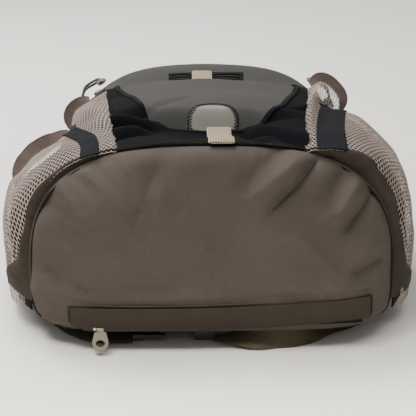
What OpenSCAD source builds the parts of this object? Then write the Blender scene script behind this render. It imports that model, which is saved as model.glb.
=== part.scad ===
/* [Pack body] */
// Half of the pack's width at the base seam, in millimetres like every length here
half_w = 140; // [132:1:148]
// Height of the fullest part of the front above the floor face
front_z = 157; // [150:1:164]
// Distance from the middle of the back to the top end
half_l = 236; // [228:1:244]
// Thickness of the shell fabric with its lining
fabric_t = 1.6; // [1.2:0.1:2]
// How far the bottom panel bulges past its seam
base_bulge = 14; // [10:1:18]
// Lean of the bottom panel away from upright, in degrees
base_tilt = 9; // [6:1:12]

/* [Back system] */
// Thickness of the foam pads, which lift the back panel off the ground
pad_t = 12; // [11:0.5:14]
// Thickness of the padded shoulder straps
strap_t = 9; // [7:0.5:9.5]
// Width of the webbing tabs and of the haul loop
tab_w = 20; // [18:1:25]
// Width of the waist-belt webbing
belt_w = 25; // [20:1:28]

/* [Openings and closures] */
// Distance of the lid's fold line from the middle of the back
hinge_y = 57; // [54:1:60]
// Height of the zip at the lid's fold line
zip_z = 112; // [108:1:116]
// Fall of the zip line towards the top end, in degrees
zip_slant = 11.8; // [10:0.2:13]
// Depth of the bottle pockets outside the side panels
bottle_depth = 32; // [28:1:34]
// Fullness of the stretch pocket over the front panel
stretch_depth = 13; // [11:1:15]
// Radius of the drinking-hose port's hole
port_r = 9; // [8:0.5:10]

/* [Hidden] */

// Colours
taupe = [0.35, 0.31, 0.28];
grey = [0.40, 0.40, 0.39];
black = [0.13, 0.14, 0.17];
mesh_tone = [0.66, 0.60, 0.56];
knit = [0.47, 0.41, 0.38];
cream = [0.80, 0.76, 0.68];
olive = [0.53, 0.53, 0.47];
dark = [0.20, 0.20, 0.20];
steel = [0.70, 0.71, 0.72];
foam = [0.28, 0.28, 0.27];
film = [0.62, 0.75, 0.84];

// Clearance between sewn neighbours
gap = 0.3;
skin = 0.02;
far = 300;

// Cross-sections: a rounded box whose front is fuller than its back
section_points = 44;
front_n = 2.8;
back_n = 5;
mid_frac = 0.33;
back_z = pad_t;

// The base seam is a plane that leans by base_tilt through this point at the front
seam_y = -0.941 * half_l;
seam_z = 0.987 * front_z;
boot_reach = 8;
boot_slant = 8.5;
cap_drop = 28;

// Stations are [y, half width, top height, tilt], from the base to the top end
main_stations = [
  [seam_y, half_w, seam_z, base_tilt],
  [-0.508 * half_l, 1.007 * half_w, front_z, 0],
  [0, 0.986 * half_w, 0.968 * front_z, 0],
  [0.254 * half_l, 0.957 * half_w, 0.930 * front_z, 0],
  [0.551 * half_l, 0.907 * half_w, 0.866 * front_z, 0],
  [0.847 * half_l, 0.807 * half_w, 0.745 * front_z, 0],
  [half_l, 0.671 * half_w, 0.592 * front_z, 0]
];
side_stations = [
  [seam_y, half_w + 2.5, seam_z + 2.5, base_tilt],
  [seam_y + 22, half_w + bottle_depth - 7, seam_z + 5, 0.6 * base_tilt],
  [seam_y + 72, half_w + bottle_depth, seam_z + 9, 0],
  [seam_y + 162, half_w + bottle_depth, seam_z + 8, 0],
  [30, half_w + 10, seam_z, 0],
  [70, half_w, seam_z - 5, 0]
];
stretch_stations = [
  [seam_y, half_w + 2.5, seam_z + 2.5, base_tilt],
  [-0.508 * half_l, half_w + 4, front_z + stretch_depth, 0],
  [0, half_w, front_z, 0],
  [0.254 * half_l, half_w - 4, 0.955 * front_z, 0]
];

// Where the front panel meets the side panels, and the side panels the top panel
front_panel_x = 100;
top_panel_y = hinge_y + 140;
boot_split_x = 60;

// Stretch pocket outline seen from the front
pocket_edge_base = 72;
pocket_edge_slope = 0.105;
wing_top = 52;
hem_y = -142;
hem_w = 5;
disc_x = 3;
disc_r = 20.5;
front_tab_x = 7.5;

// Side pocket mouths slant from the front towards the back
mouth_y = 24;
mouth_z = 140;
mouth_slant = 35;
binding_w = 18;
band_outline = [[81, seam_y - 8], [103, seam_y - 8], [132, 10], [110, 10]];

// Main zip
tape_w = 7.4;
hinge_z = lookup(hinge_y, [for (s = main_stations) [s[0], s[2]]]);
lid_tape_start = 12;
slider_y = 14;
slider_lift = 2.2;
bar_lift = 5.2;

// Lid's slotted patch, with the tab that passes over it
patch_x = 38;
patch_y = [64, 84];
lid_tab_x = -4;
lid_tab_y = [62, 90];

// Base zip, in the frame of the bottom panel
base_zip_x = [-104, 118];
base_zip_z = [-135, -124];
flap_x = [-108, 121];
flap_out = 17.5;
flap_z = [-139, -119];
base_slider_x = -86;
base_slider_z = -129;
base_slider_out = 12.6;
base_bar_drop = 9.2;

// Straps and belts lie under the back panel, beside the pads
strap_path = [[60, 203], [66, 150], [84, 95], [98, 40], [106, -20], [114, -80]];
strap_widths = [44, 50, 54, 54, 48, 34];
lock_path = [[114.5, -83], [114.5, -104]];
anchor = [108, -192, 5];
sternum_y = 63;
sternum_x = 57;
sternum_z = 6;
buckle_w = 20;
haul_pivot = [0, half_l + 5, 26];
waist_left_path = [[-118, -206], [-104, -222], [-84, -234], [-62, -234]];
waist_right_path = [[118, -206], [108, -224], [90, -241], [66, -248], [40, -246], [18, -236]];

function rounded_unit(v, n) = sign(v) * pow(abs(v), 2 / n);

// Outline of one cross-section, measured down from its top point and drawn in by o
function section(w, h, o) =
  let (up = h * (1 - mid_frac), down = h * mid_frac)
  [for (i = [0 : section_points - 1])
    let (a = 360 * i / section_points, n = sin(a) >= 0 ? front_n : back_n)
    [(w - o) * rounded_unit(cos(a), n),
     -up + ((sin(a) >= 0 ? up : down) - o) * rounded_unit(sin(a), n)]];

function station_height(s) = (s[2] - back_z) / cos(s[3]);
function widths(list) = [for (s = list) [s[0], s[1]]];
function tops(list) = [for (s = list) [s[0], s[2]]];

// Half width of the main body at a height z, and the slope of its wall there
function wall_frac(y, z) =
  let (h = lookup(y, tops(main_stations)) - back_z)
  (z - back_z - h * mid_frac) / (h * (1 - mid_frac));
function wall_x(y, z) =
  lookup(y, widths(main_stations)) * pow(1 - pow(wall_frac(y, z), front_n), 1 / front_n);
function wall_lean(y, z) =
  let (w = lookup(y, widths(main_stations)), h = lookup(y, tops(main_stations)) - back_z,
       f = wall_frac(y, z), g = wall_x(y, z) / w)
  atan((pow(f, front_n - 1) / (h * (1 - mid_frac))) / (pow(g, front_n - 1) / w));
function zip_height(y) = zip_z - tan(zip_slant) * (y - hinge_y);

// Outline of a ribbon of given widths along a path
function path_dir(p, i) =
  let (a = p[max(i - 1, 0)], b = p[min(i + 1, len(p) - 1)]) (b - a) / norm(b - a);
function path_side(p, w, s) =
  [for (i = [0 : len(p) - 1]) p[i] + s * w[i] / 2 * [-path_dir(p, i)[1], path_dir(p, i)[0]]];
function reversed(v) = [for (i = [len(v) - 1 : -1 : 0]) v[i]];
function ribbon(p, w) = concat(path_side(p, w, 1), reversed(path_side(p, w, -1)));
function same(p, w) = [for (i = p) w];

// Frames and regions
module base_frame() translate([0, seam_y, seam_z]) rotate([-base_tilt, 0, 0]) children();
module zip_frame() translate([0, hinge_y, zip_z]) rotate([-zip_slant, 0, 0]) children();
module mouth_frame() translate([0, mouth_y, mouth_z]) rotate([-mouth_slant, 0, 0]) children();
module boot_frame() base_frame() translate([0, boot_reach, 0]) rotate([boot_slant, 0, 0]) children();
module slab_y(y0, y1) translate([-far, y0, -2 * far]) cube([2 * far, y1 - y0, 4 * far]);
module slab_z(z0, z1) translate([-far, -2 * far, z0]) cube([2 * far, 4 * far, z1 - z0]);
module inside_seam() base_frame() slab_y(gap, 3 * far);
module past_boot() boot_frame() slab_y(gap, 3 * far);
module beside_pocket(x_gap) linear_extrude(far) polygon([
  [pocket_edge(-far) + x_gap, -far], [far, -far], [far, far], [pocket_edge(far) + x_gap, far]]);
function pocket_edge(y) = pocket_edge_base + pocket_edge_slope * (y - seam_y);
module both_sides() { children(); mirror([1, 0, 0]) children(); }
module on_side(s) mirror([s < 0 ? 1 : 0, 0, 0]) children();

// Envelopes: solids that every panel is cut from, drawn in by o
module section_at(s, h, o) translate([0, s[0], s[2]]) rotate([90 - s[3], 0, 0])
  linear_extrude(skin) polygon(section(s[1], h, o));
module main_envelope(o) hull() {
  base_frame() translate([0, o - base_bulge, -cap_drop]) rotate([90, 0, 0])
    linear_extrude(skin) polygon(section(0.7 * half_w, 0.62 * (seam_z - back_z), o));
  for (i = [0 : len(main_stations) - 1])
    let (s = main_stations[i], last = i == len(main_stations) - 1)
      section_at([s[0] - (last ? o : 0), s[1], s[2], s[3]], station_height(s), o);
}
module open_envelope(list, o) hull() for (i = [0 : len(list) - 1])
  let (s = list[i], reach = o <= 0 ? 0 : i == 0 ? -2 : i == len(list) - 1 ? 2 : 0)
    section_at([s[0] + reach, s[1], s[2], s[3]], station_height(s), o);
module main_shell(o1, o2) difference() { main_envelope(o1); main_envelope(o2); }
module side_shell(o1, o2) difference() { open_envelope(side_stations, o1); open_envelope(side_stations, o2); }
module stretch_shell(o1, o2) difference() {
  open_envelope(stretch_stations, o1);
  open_envelope(stretch_stations, o2);
}

// Rounded plate seen from the front
module plate(x, y, z, r) translate([0, 0, z[0]]) linear_extrude(z[1] - z[0])
  translate([x[0] + r, y[0] + r]) offset(r = r, $fn = 32) square([x[1] - x[0] - 2 * r, y[1] - y[0] - 2 * r]);

// ---------- back system ----------
module back_panel() color(foam) intersection() {
  main_envelope(0);
  inside_seam();
  slab_z(0, back_z + 4);
  slab_y(-2 * far, half_l - fabric_t - gap);
}
module back_pads() color(dark) {
  plate([-32, 32], [84, 190], [0, pad_t], 14);
  plate([-68, 68], [-112, 42], [0, pad_t], 18);
  plate([-88, 88], [-200, -132], [0, pad_t], 20);
}
module frame_sheet() color(olive) plate([-100, 100], [-205, 188], [back_z + 6.6, back_z + 8], 30);
module frame_stay() color(steel) plate([-8, 8], [-190, 190], [back_z + 4.2, back_z + 6.4], 6);
module hydration_sleeve() color(grey) difference() {
  plate([-100, 100], [-172, 120], [back_z + 8.3, back_z + 45.4], 12);
  plate([-98.8, 98.8], [-170.8, 140], [0, back_z + 44.2], 11);
}
module reservoir() color(film) hull() for (x = [-72, 72], y = [-140, 116], z = [0, 5])
  translate([x, y, back_z + 19 + z]) sphere(r = 9, $fn = 24);
module reservoir_port() color(steel) translate([0, -149 - gap, back_z + 21.5]) rotate([90, 0, 0]) {
  cylinder(r = 7, h = 4, $fn = 48);
  translate([0, 0, 4]) cylinder(r = 5, h = 12, $fn = 48);
}
module reservoir_cap() color(dark) translate([0, 78, back_z + 33 + gap]) difference() {
  cylinder(r = 27, h = 8, $fn = 64);
  for (a = [0 : 30 : 330]) rotate(a) translate([28.5, 0, 2]) cylinder(r = 3, h = 10, $fn = 24);
}
module hang_clip() color(dark) {
  plate([-14, 14], [136, 150], [back_z + 8.3, back_z + 12.3], 5);
  translate([-10, 128, back_z + 12.3]) cube([20, 18, 3]);
}
module strap_anchor_tabs() color(dark) both_sides() {
  plate([44, 76], [206, 219], [4, back_z], 3);
  translate([0, 0, 4]) linear_extrude(back_z - 4) polygon([[95, -216], [114, -216], [116, -196], [100, -196]]);
}

// ---------- shell ----------
module bottom_panel() color(taupe) intersection() {
  main_shell(0, fabric_t);
  base_frame() slab_y(-far, -gap);
}
module above_back() slab_z(back_z + 4 + gap, far);
module below_zip() zip_frame() slab_z(-far, -tape_w - 2 * gap);
module side_panel(s) color(grey) on_side(s) intersection() {
  main_shell(0, fabric_t);
  inside_seam();
  above_back();
  translate([front_panel_x + gap, -2 * far, 0]) cube([far, 2 * far + top_panel_y, far]);
  union() {
    slab_y(-2 * far, hinge_y - gap);
    below_zip();
  }
}
module front_panel() color(grey) intersection() {
  main_shell(0, fabric_t);
  inside_seam();
  translate([-front_panel_x, -2 * far, front_z / 2])
    cube([2 * front_panel_x, 2 * far + hinge_y - gap, far]);
}
module top_panel() color(grey) difference() {
  intersection() {
    main_shell(0, fabric_t);
    above_back();
    below_zip();
    slab_y(top_panel_y + gap, far);
  }
  hose_axis() cylinder(r = port_r + 5 + gap, h = 30, center = true, $fn = 64);
}
module side_panel_left() side_panel(-1);
module side_panel_right() side_panel(1);

module hose_axis() translate([-62, half_l, 42]) rotate([-90, 0, 0]) children();
module hose_port() color(dark) hose_axis() difference() {
  union() {
    translate([0, 0, -4]) cylinder(r = port_r + 5, h = 5, $fn = 64);
    translate([0, 0, gap]) cylinder(r = port_r + 8, h = 2, $fn = 64);
  }
  translate([0, 0, -5]) cylinder(r = port_r, h = 10, $fn = 64);
}

// ---------- base ----------
module boot_shell() difference() {
  intersection() {
    side_shell(0, fabric_t);
    inside_seam();
    boot_frame() slab_y(-far, 0);
  }
  main_envelope(-gap);
}
module boot_front() color(taupe) intersection() {
  boot_shell();
  translate([-boot_split_x, -2 * far, front_z / 2]) cube([2 * boot_split_x, 4 * far, far]);
}
module boot_side(s) color(taupe) on_side(s) intersection() {
  boot_shell();
  translate([boot_split_x + gap, -2 * far, 0]) cube([far, 4 * far, far]);
}
module boot_left() boot_side(-1);
module boot_right() boot_side(1);
module base_pocket_lining() color(dark) base_frame() translate([0, 34, 0])
  rotate([90, 0, 0]) linear_extrude(1) polygon(section(0.86 * half_w, 0.8 * (seam_z - back_z), 3));
module base_zip_tape() color(black) intersection() {
  main_shell(-1.2, -gap);
  base_frame() translate([base_zip_x[0], -far, base_zip_z[0]])
    cube([base_zip_x[1] - base_zip_x[0], far, base_zip_z[1] - base_zip_z[0]]);
}
module storm_flap() color(taupe) base_frame() translate([0, -flap_out, 0]) rotate([90, 0, 0])
  linear_extrude(1.4) translate([flap_x[0] + 4, flap_z[0] + 4]) offset(r = 4, $fn = 32)
    square([flap_x[1] - flap_x[0] - 8, flap_z[1] - flap_z[0] - 8]);

// Zip slider: a body with a bridge bar, drawn with its underside at z = 0 and its run along x
module slider(len, wid, bar_x) {
  translate([0, 0, 1.5]) cube([len, wid, 3], center = true);
  for (s = [-1, 1]) translate([bar_x, s * (wid / 2 - 0.8), 4.1]) cube([2.4, 1.6, 3.8], center = true);
  translate([bar_x, 0, bar_lift]) rotate([90, 0, 0]) cylinder(r = 0.8, h = wid, center = true, $fn = 24);
}
module base_slider_frame() base_frame() translate([base_slider_x, -base_slider_out, base_slider_z])
  rotate([90, 0, 0]) children();
module base_slider() color(steel) base_slider_frame() {
  translate([0, 0, 1.5]) cube([10, 9, 3], center = true);
  for (s = [-1, 1]) translate([s * 4.2, -7, 1.5]) cube([1.6, 5.2, 3], center = true);
  translate([0, -base_bar_drop, 1.5]) rotate([0, 90, 0]) cylinder(r = 0.8, h = 10, center = true, $fn = 24);
}
// The puller hangs straight down from the slider's bar
module base_puller() color(olive)
  base_slider_frame() translate([0, -base_bar_drop, 1.5]) rotate([-base_tilt, 0, 0]) difference() {
    union() {
      translate([0, 0, -1]) linear_extrude(2) {
        translate([-2.6, -4.5]) square([5.2, 6]);
        hull() {
          translate([0, -3.2]) square([9, 2], center = true);
          translate([0, -10.4]) circle(r = 6.2, $fn = 48);
        }
      }
      rotate([0, 90, 0]) cylinder(r = 2.2, h = 5.2, center = true, $fn = 32);
    }
    rotate([0, 90, 0]) cylinder(r = 1.1, h = 20, center = true, $fn = 24);
    translate([0, -10.9, -2]) linear_extrude(4) scale([1, 0.8]) circle(r = 3.4, $fn = 40);
  }

// ---------- stretch pocket ----------
module hem_curve(grow) offset(r = 22 + grow, $fn = 48) offset(delta = -22)
  polygon([[-80, 120], [-78, wing_top], [-68, -30], [-52, hem_y], [52, hem_y], [68, -30], [78, wing_top], [80, 120]]);
module pocket_plan() intersection() {
  polygon([[-pocket_edge(-far), -far], [pocket_edge(-far), -far], [pocket_edge(far), far], [-pocket_edge(far), far]]);
  translate([-far, -far]) square([2 * far, far + wing_top]);
}
module stretch_pocket() color(black) intersection() {
  stretch_shell(0, 1.4);
  past_boot();
  translate([0, 0, front_z / 2]) linear_extrude(far) difference() { pocket_plan(); hem_curve(hem_w + gap); }
}
module stretch_hem() color(black) intersection() {
  stretch_shell(-0.8, 2);
  translate([0, 0, front_z / 2]) linear_extrude(far)
    intersection() { pocket_plan(); difference() { hem_curve(hem_w); hem_curve(0); } }
}
module front_tab() color(cream) intersection() {
  stretch_shell(-2.2, -0.8 - gap);
  past_boot();
  translate([front_tab_x - tab_w / 2, -far, 100]) cube([tab_w, far + hem_y, far]);
}
module reflective_disc() color(cream) intersection() {
  main_shell(-1.2, -gap);
  translate([disc_x, hem_y + 14, 100]) cylinder(r = disc_r, h = 100, $fn = 64);
}

// ---------- bottle pockets ----------
module pocket_mesh(s) color(mesh_tone) on_side(s) difference() {
  intersection() {
    side_shell(0, 1.5);
    past_boot();
    beside_pocket(gap);
    mouth_frame() slab_y(-2 * far, 0);
  }
  main_envelope(-gap);
}
module pocket_binding(s) color(knit) on_side(s) difference() {
  intersection() {
    side_shell(-1.2, 2.6);
    beside_pocket(gap);
    mouth_frame() slab_y(gap, binding_w);
  }
  main_envelope(-gap);
}
module pocket_band(s) color(black) on_side(s) intersection() {
  side_shell(-1.4, -gap);
  boot_frame() slab_y(1, 3 * far);
  mouth_frame() slab_y(-2 * far, -1.6);
  translate([0, 0, 90]) linear_extrude(far) polygon(band_outline);
}
module pocket_mesh_left() pocket_mesh(-1);
module pocket_mesh_right() pocket_mesh(1);
module pocket_binding_left() pocket_binding(-1);
module pocket_binding_right() pocket_binding(1);
module pocket_band_left() pocket_band(-1);
module pocket_band_right() pocket_band(1);

// ---------- lid and main zip ----------
module lid_region(z0, z1) intersection() {
  slab_y(hinge_y + gap, far);
  zip_frame() slab_z(z0, z1);
}
module lid_panel() color(grey) intersection() {
  main_shell(0, fabric_t);
  lid_region(tape_w + 2 * gap, far);
}
module lid_zip_tape() color(black) intersection() {
  main_shell(-0.4, 1);
  lid_region(gap, tape_w + gap);
  slab_y(hinge_y + lid_tape_start, far);
}
module main_zip_tape() color(black) intersection() {
  main_shell(-0.4, 1);
  lid_region(-tape_w - gap, -gap);
}
module lid_piping() color(olive) intersection() {
  main_shell(-2.4, -gap);
  lid_region(tape_w + 2, tape_w + 5);
}
module lid_slot_patch() color(dark) intersection() {
  main_shell(-1.2, -gap);
  translate([-patch_x, patch_y[0], 100]) cube([2 * patch_x, patch_y[1] - patch_y[0], 100]);
}
module lid_tab() color(cream) intersection() {
  main_shell(-3, -1.2 - gap);
  translate([lid_tab_x - tab_w / 2, lid_tab_y[0], 100]) cube([tab_w, lid_tab_y[1] - lid_tab_y[0], 100]);
}

// A main slider stands on the wall with its run along the zip
module main_slider_frame(s) {
  y = hinge_y + slider_y;
  z = zip_height(y);
  on_side(s) translate([wall_x(y, z), y, z]) rotate([0, -wall_lean(y, z), 0])
    translate([slider_lift, 0, 0]) rotate([90, 0, 90]) rotate([0, 0, -zip_slant]) children();
}
module main_slider(s) color(steel) main_slider_frame(s) slider(12, 9, -1);
module main_pull(s) color(dark) main_slider_frame(s) translate([-1, 0, bar_lift]) difference() {
  translate([0, 0, -1.5]) linear_extrude(3) difference() {
    hull() {
      translate([-0.6, 0]) square([4, 5], center = true);
      translate([-27, 0]) circle(r = 6, $fn = 48);
    }
    hull() for (x = [-27, -13]) translate([x, 0]) circle(r = 2.2, $fn = 32);
  }
  rotate([90, 0, 0]) cylinder(r = 1.1, h = 20, center = true, $fn = 24);
}
module main_slider_left() main_slider(-1);
module main_slider_right() main_slider(1);
module main_pull_left() main_pull(-1);
module main_pull_right() main_pull(1);

// ---------- haul loop ----------
module haul_loop() color(dark) translate(haul_pivot) intersection() {
  translate([0, 0, -tab_w / 2]) linear_extrude(tab_w) difference() {
    offset(r = 12, $fn = 48) offset(delta = -12) polygon([[-36, -14], [36, -14], [36, -2], [30, 24], [-30, 24], [-36, -2]]);
    offset(r = 10, $fn = 48) offset(delta = -10) polygon([[-33, -40], [33, -40], [33, -2], [27.5, 21], [-27.5, 21], [-33, -2]]);
  }
  translate([-50, 0, 0]) rotate([90, 0, 90]) linear_extrude(100) hull() {
    circle(r = 4, $fn = 32);
    translate([14, -tab_w / 2]) square([12, tab_w]);
  }
}

// ---------- shoulder straps ----------
module shoulder_strap(s) color(dark) on_side(s) translate([0, 0, 1.5]) linear_extrude(strap_t)
  polygon(ribbon(strap_path, strap_widths));
module ladder_lock(s) color(black) on_side(s) translate([0, 0, 2.5]) linear_extrude(6.5) difference() {
  polygon(ribbon(lock_path, same(lock_path, 28)));
  for (y = [-89.5, -98]) translate([114.5, y]) square([20, 4.6], center = true);
}
module strap_webbing(s) color(olive) on_side(s) translate([0, 0, 4]) linear_extrude(2)
  polygon(ribbon([[115, -106], [anchor[0], anchor[1]]], [tab_w, tab_w]));
module sternum_strap(s) color(olive) on_side(s)
  translate([33, sternum_y - 9, sternum_z - 1]) cube([sternum_x - 33, 18, 2]);
// Male clip: a body, a centre guide and two spring arms, pointing along +x from its base
module clip_male(w) {
  translate([0, -w / 2, -2.5]) cube([8, w, 5]);
  translate([8, -2, -1.5]) cube([13, 4, 3]);
  for (s = [-1, 1]) translate([8, s * (w / 2 - 2.4) - 1.6, -1.8]) cube([17, 3.2, 3.6]);
}
// Female clip: a flat box with its mouth towards +x
module clip_female(w) difference() {
  translate([0, -w / 2 - 2, -4]) cube([28, w + 4, 8]);
  translate([6, -w / 2, -2.4]) cube([30, w, 4.8]);
}
module sternum_buckle_male() color(black) translate([-33, sternum_y, sternum_z]) clip_male(buckle_w);
module sternum_buckle_female() color(black) translate([33, sternum_y, sternum_z]) mirror([1, 0, 0]) clip_female(buckle_w);

// ---------- waist belt ----------
module waist_belt_left() color(olive) translate([0, 0, 0.8]) linear_extrude(1.8)
  polygon(ribbon(waist_left_path, same(waist_left_path, belt_w)));
module waist_belt_right() color(olive) translate([0, 0, 0.8]) linear_extrude(1.8)
  polygon(ribbon(waist_right_path, same(waist_right_path, belt_w)));
module waist_buckle_male() color(black) translate([-62, -230, 4.2]) clip_male(buckle_w);
module waist_buckle_female() color(black) translate([14, -226, 5]) mirror([1, 0, 0]) clip_female(buckle_w);

module shoulder_strap_left() shoulder_strap(-1);
module shoulder_strap_right() shoulder_strap(1);
module ladder_lock_left() ladder_lock(-1);
module ladder_lock_right() ladder_lock(1);
module strap_webbing_left() strap_webbing(-1);
module strap_webbing_right() strap_webbing(1);
module sternum_strap_left() sternum_strap(-1);
module sternum_strap_right() sternum_strap(1);

back_panel();
back_pads();
frame_sheet();
frame_stay();
bottom_panel();
boot_front();
boot_left();
boot_right();
side_panel_left();
side_panel_right();
front_panel();
top_panel();
hose_port();
stretch_pocket();
stretch_hem();
front_tab();
reflective_disc();
pocket_mesh_left();
pocket_mesh_right();
pocket_band_left();
pocket_band_right();
pocket_binding_left();
pocket_binding_right();
base_pocket_lining();
base_zip_tape();
main_zip_tape();
hydration_sleeve();
reservoir();
reservoir_port();
hang_clip();
strap_anchor_tabs();
storm_flap();
base_slider();
base_puller();
main_slider_left();
main_slider_right();
main_pull_left();
main_pull_right();
lid_panel();
lid_zip_tape();
lid_tab();
lid_slot_patch();
lid_piping();
haul_loop();
reservoir_cap();
shoulder_strap_left();
shoulder_strap_right();
ladder_lock_left();
ladder_lock_right();
strap_webbing_left();
strap_webbing_right();
sternum_strap_left();
sternum_strap_right();
sternum_buckle_male();
sternum_buckle_female();
waist_belt_left();
waist_belt_right();
waist_buckle_male();
waist_buckle_female();
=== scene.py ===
"""The looks of a small hydration pack that lies on its back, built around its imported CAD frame."""

import math

import bpy
import numpy as np
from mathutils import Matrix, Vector


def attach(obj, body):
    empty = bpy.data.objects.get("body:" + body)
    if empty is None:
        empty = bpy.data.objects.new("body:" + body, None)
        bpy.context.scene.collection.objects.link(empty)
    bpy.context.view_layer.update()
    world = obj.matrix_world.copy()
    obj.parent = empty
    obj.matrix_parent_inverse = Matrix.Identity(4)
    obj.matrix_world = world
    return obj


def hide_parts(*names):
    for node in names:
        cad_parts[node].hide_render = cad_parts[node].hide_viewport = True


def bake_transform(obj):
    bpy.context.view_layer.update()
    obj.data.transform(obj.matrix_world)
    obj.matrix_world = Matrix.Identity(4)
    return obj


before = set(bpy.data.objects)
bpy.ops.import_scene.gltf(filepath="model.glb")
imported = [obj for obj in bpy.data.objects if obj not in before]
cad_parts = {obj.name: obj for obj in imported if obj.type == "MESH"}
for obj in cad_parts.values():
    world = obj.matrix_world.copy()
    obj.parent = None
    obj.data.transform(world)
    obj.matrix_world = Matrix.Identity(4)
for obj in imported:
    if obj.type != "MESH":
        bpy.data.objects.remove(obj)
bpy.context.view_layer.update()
MM = 0.001

# Driving dimensions, in millimetres and radians
HALF_W = 140.0
FRONT_Z = 157.0
HALF_L = 236.0
BACK_Z = 12.0
BASE_TILT = math.radians(9)
HINGE_Y = 57.0
ZIP_Z = 112.0
ZIP_SLANT = math.radians(11.8)
TAPE_W = 7.4
TAB_W = 20.0
SEAM_Y = -0.941 * HALF_L
SEAM_Z = 0.987 * FRONT_Z
MID_FRAC = 0.33
FRONT_N = 2.8
BACK_N = 5.0
BULGE = 19.0
MOUTH_Y = 24.0
MOUTH_Z = 140.0
MOUTH_SLOPE = math.tan(math.radians(35))
HEM_Y = -142.0
# Where pieces of cloth meet: the front panel's half width, the zip's half gap, the height at which the
# sides pass to the back, and the station at which the side wall passes to the end
FRONT_X = 100.0
ZIP_GAP = 8.2
LOW_Z = 17.0
END_Y = 197.0
# The last station's half width and height, as fractions
END_W = 0.671
END_H = 0.592
# The valley at the lid's fold: its depth and half width
VALLEY = 11.5
VALLEY_HALF = 92.0
# Thickness of the shell's cloth
CLOTH = 1.2
SIDES = {-1: "left", 1: "right"}
UP = (0, 0, 1)


# ---------------------------------------------------------------- numbers
def unit(v):
    """Vectors of length 1, along the last axis."""
    return v / np.maximum(np.linalg.norm(v, axis=-1, keepdims=True), 1e-9)


def run_along(path):
    """The distance from a path's start to each of its points."""
    return np.concatenate([[0], np.cumsum(np.linalg.norm(np.diff(path, axis=0), axis=1))])


class Noise:
    """Smooth lattice noise from about -1 to 1, the same each run."""

    def __init__(self, seed, size=32):
        self.size = size
        self.table = np.random.RandomState(seed).uniform(-1, 1, (size, size, size))

    def __call__(self, x, y, z=0.0):
        p = np.stack(np.broadcast_arrays(x, y, z), -1).astype(float)
        low = np.floor(p)
        f = p - low
        f = f * f * (3 - 2 * f)
        i = low.astype(int) % self.size
        j = (i + 1) % self.size
        out = 0.0
        for corner in range(8):
            pick = [(corner >> k) & 1 for k in range(3)]
            ix, iy, iz = (j[..., k] if pick[k] else i[..., k] for k in range(3))
            weight = 1.0
            for k in range(3):
                weight = weight * (f[..., k] if pick[k] else 1 - f[..., k])
            out = out + weight * self.table[ix, iy, iz]
        return out


soft_noise = Noise(3)
fold_noise = Noise(11)


def bump_at(x, centre, width):
    """A smooth hump of height 1 at centre."""
    return np.exp(-(((x - centre) / width) ** 2))


def step(x, low, high):
    """A smooth ramp from 0 at low to 1 at high."""
    t = np.clip((x - low) / (high - low), 0, 1)
    return t * t * (3 - 2 * t)


def crease(x, y, start, end, width, depth):
    """A fold along a line: a sharp valley of that depth with a rounded ridge beside it, which fades at
    both ends. A negative depth turns the fold inside out."""
    (x0, y0), (x1, y1) = start, end
    length = math.hypot(x1 - x0, y1 - y0)
    ux, uy = (x1 - x0) / length, (y1 - y0) / length
    along = ((x - x0) * ux + (y - y0) * uy) / length
    across = (x - x0) * -uy + (y - y0) * ux
    fade = step(along, -0.08, 0.2) * (1 - step(along, 0.75, 1.08))
    valley = -depth * np.exp(-np.abs(across) / (0.5 * width))
    ridge = 0.75 * depth * bump_at(across, 1.1 * width, 0.8 * width)
    return fade * (valley + ridge)


def creases(x, y, lines):
    """The sum of several folds, each given as start, end, width and depth."""
    return sum(crease(x, y, *line) for line in lines)


class Track:
    """A smooth curve through (place, value) pairs that never overshoots them."""

    def __init__(self, pairs):
        self.x = np.array([p[0] for p in pairs], float)
        self.v = np.array([p[1] for p in pairs], float)
        d = np.diff(self.v) / np.diff(self.x)
        self.m = np.concatenate([[d[0]], np.zeros(len(d) - 1), [d[-1]]])
        for i in range(1, len(d)):
            if d[i - 1] * d[i] > 0:
                self.m[i] = 2 * d[i - 1] * d[i] / (d[i - 1] + d[i])

    def __call__(self, q):
        q = np.clip(q, self.x[0], self.x[-1])
        i = np.clip(np.searchsorted(self.x, q) - 1, 0, len(self.x) - 2)
        h = self.x[i + 1] - self.x[i]
        t = (q - self.x[i]) / h
        a = (1 + 2 * t) * (1 - t) ** 2
        b = t * (1 - t) ** 2
        c = t * t * (3 - 2 * t)
        e = t * t * (t - 1)
        return a * self.v[i] + b * h * self.m[i] + c * self.v[i + 1] + e * h * self.m[i + 1]


def rounded_unit(v, n):
    return np.sign(v) * np.abs(v) ** (2 / n)


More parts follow.
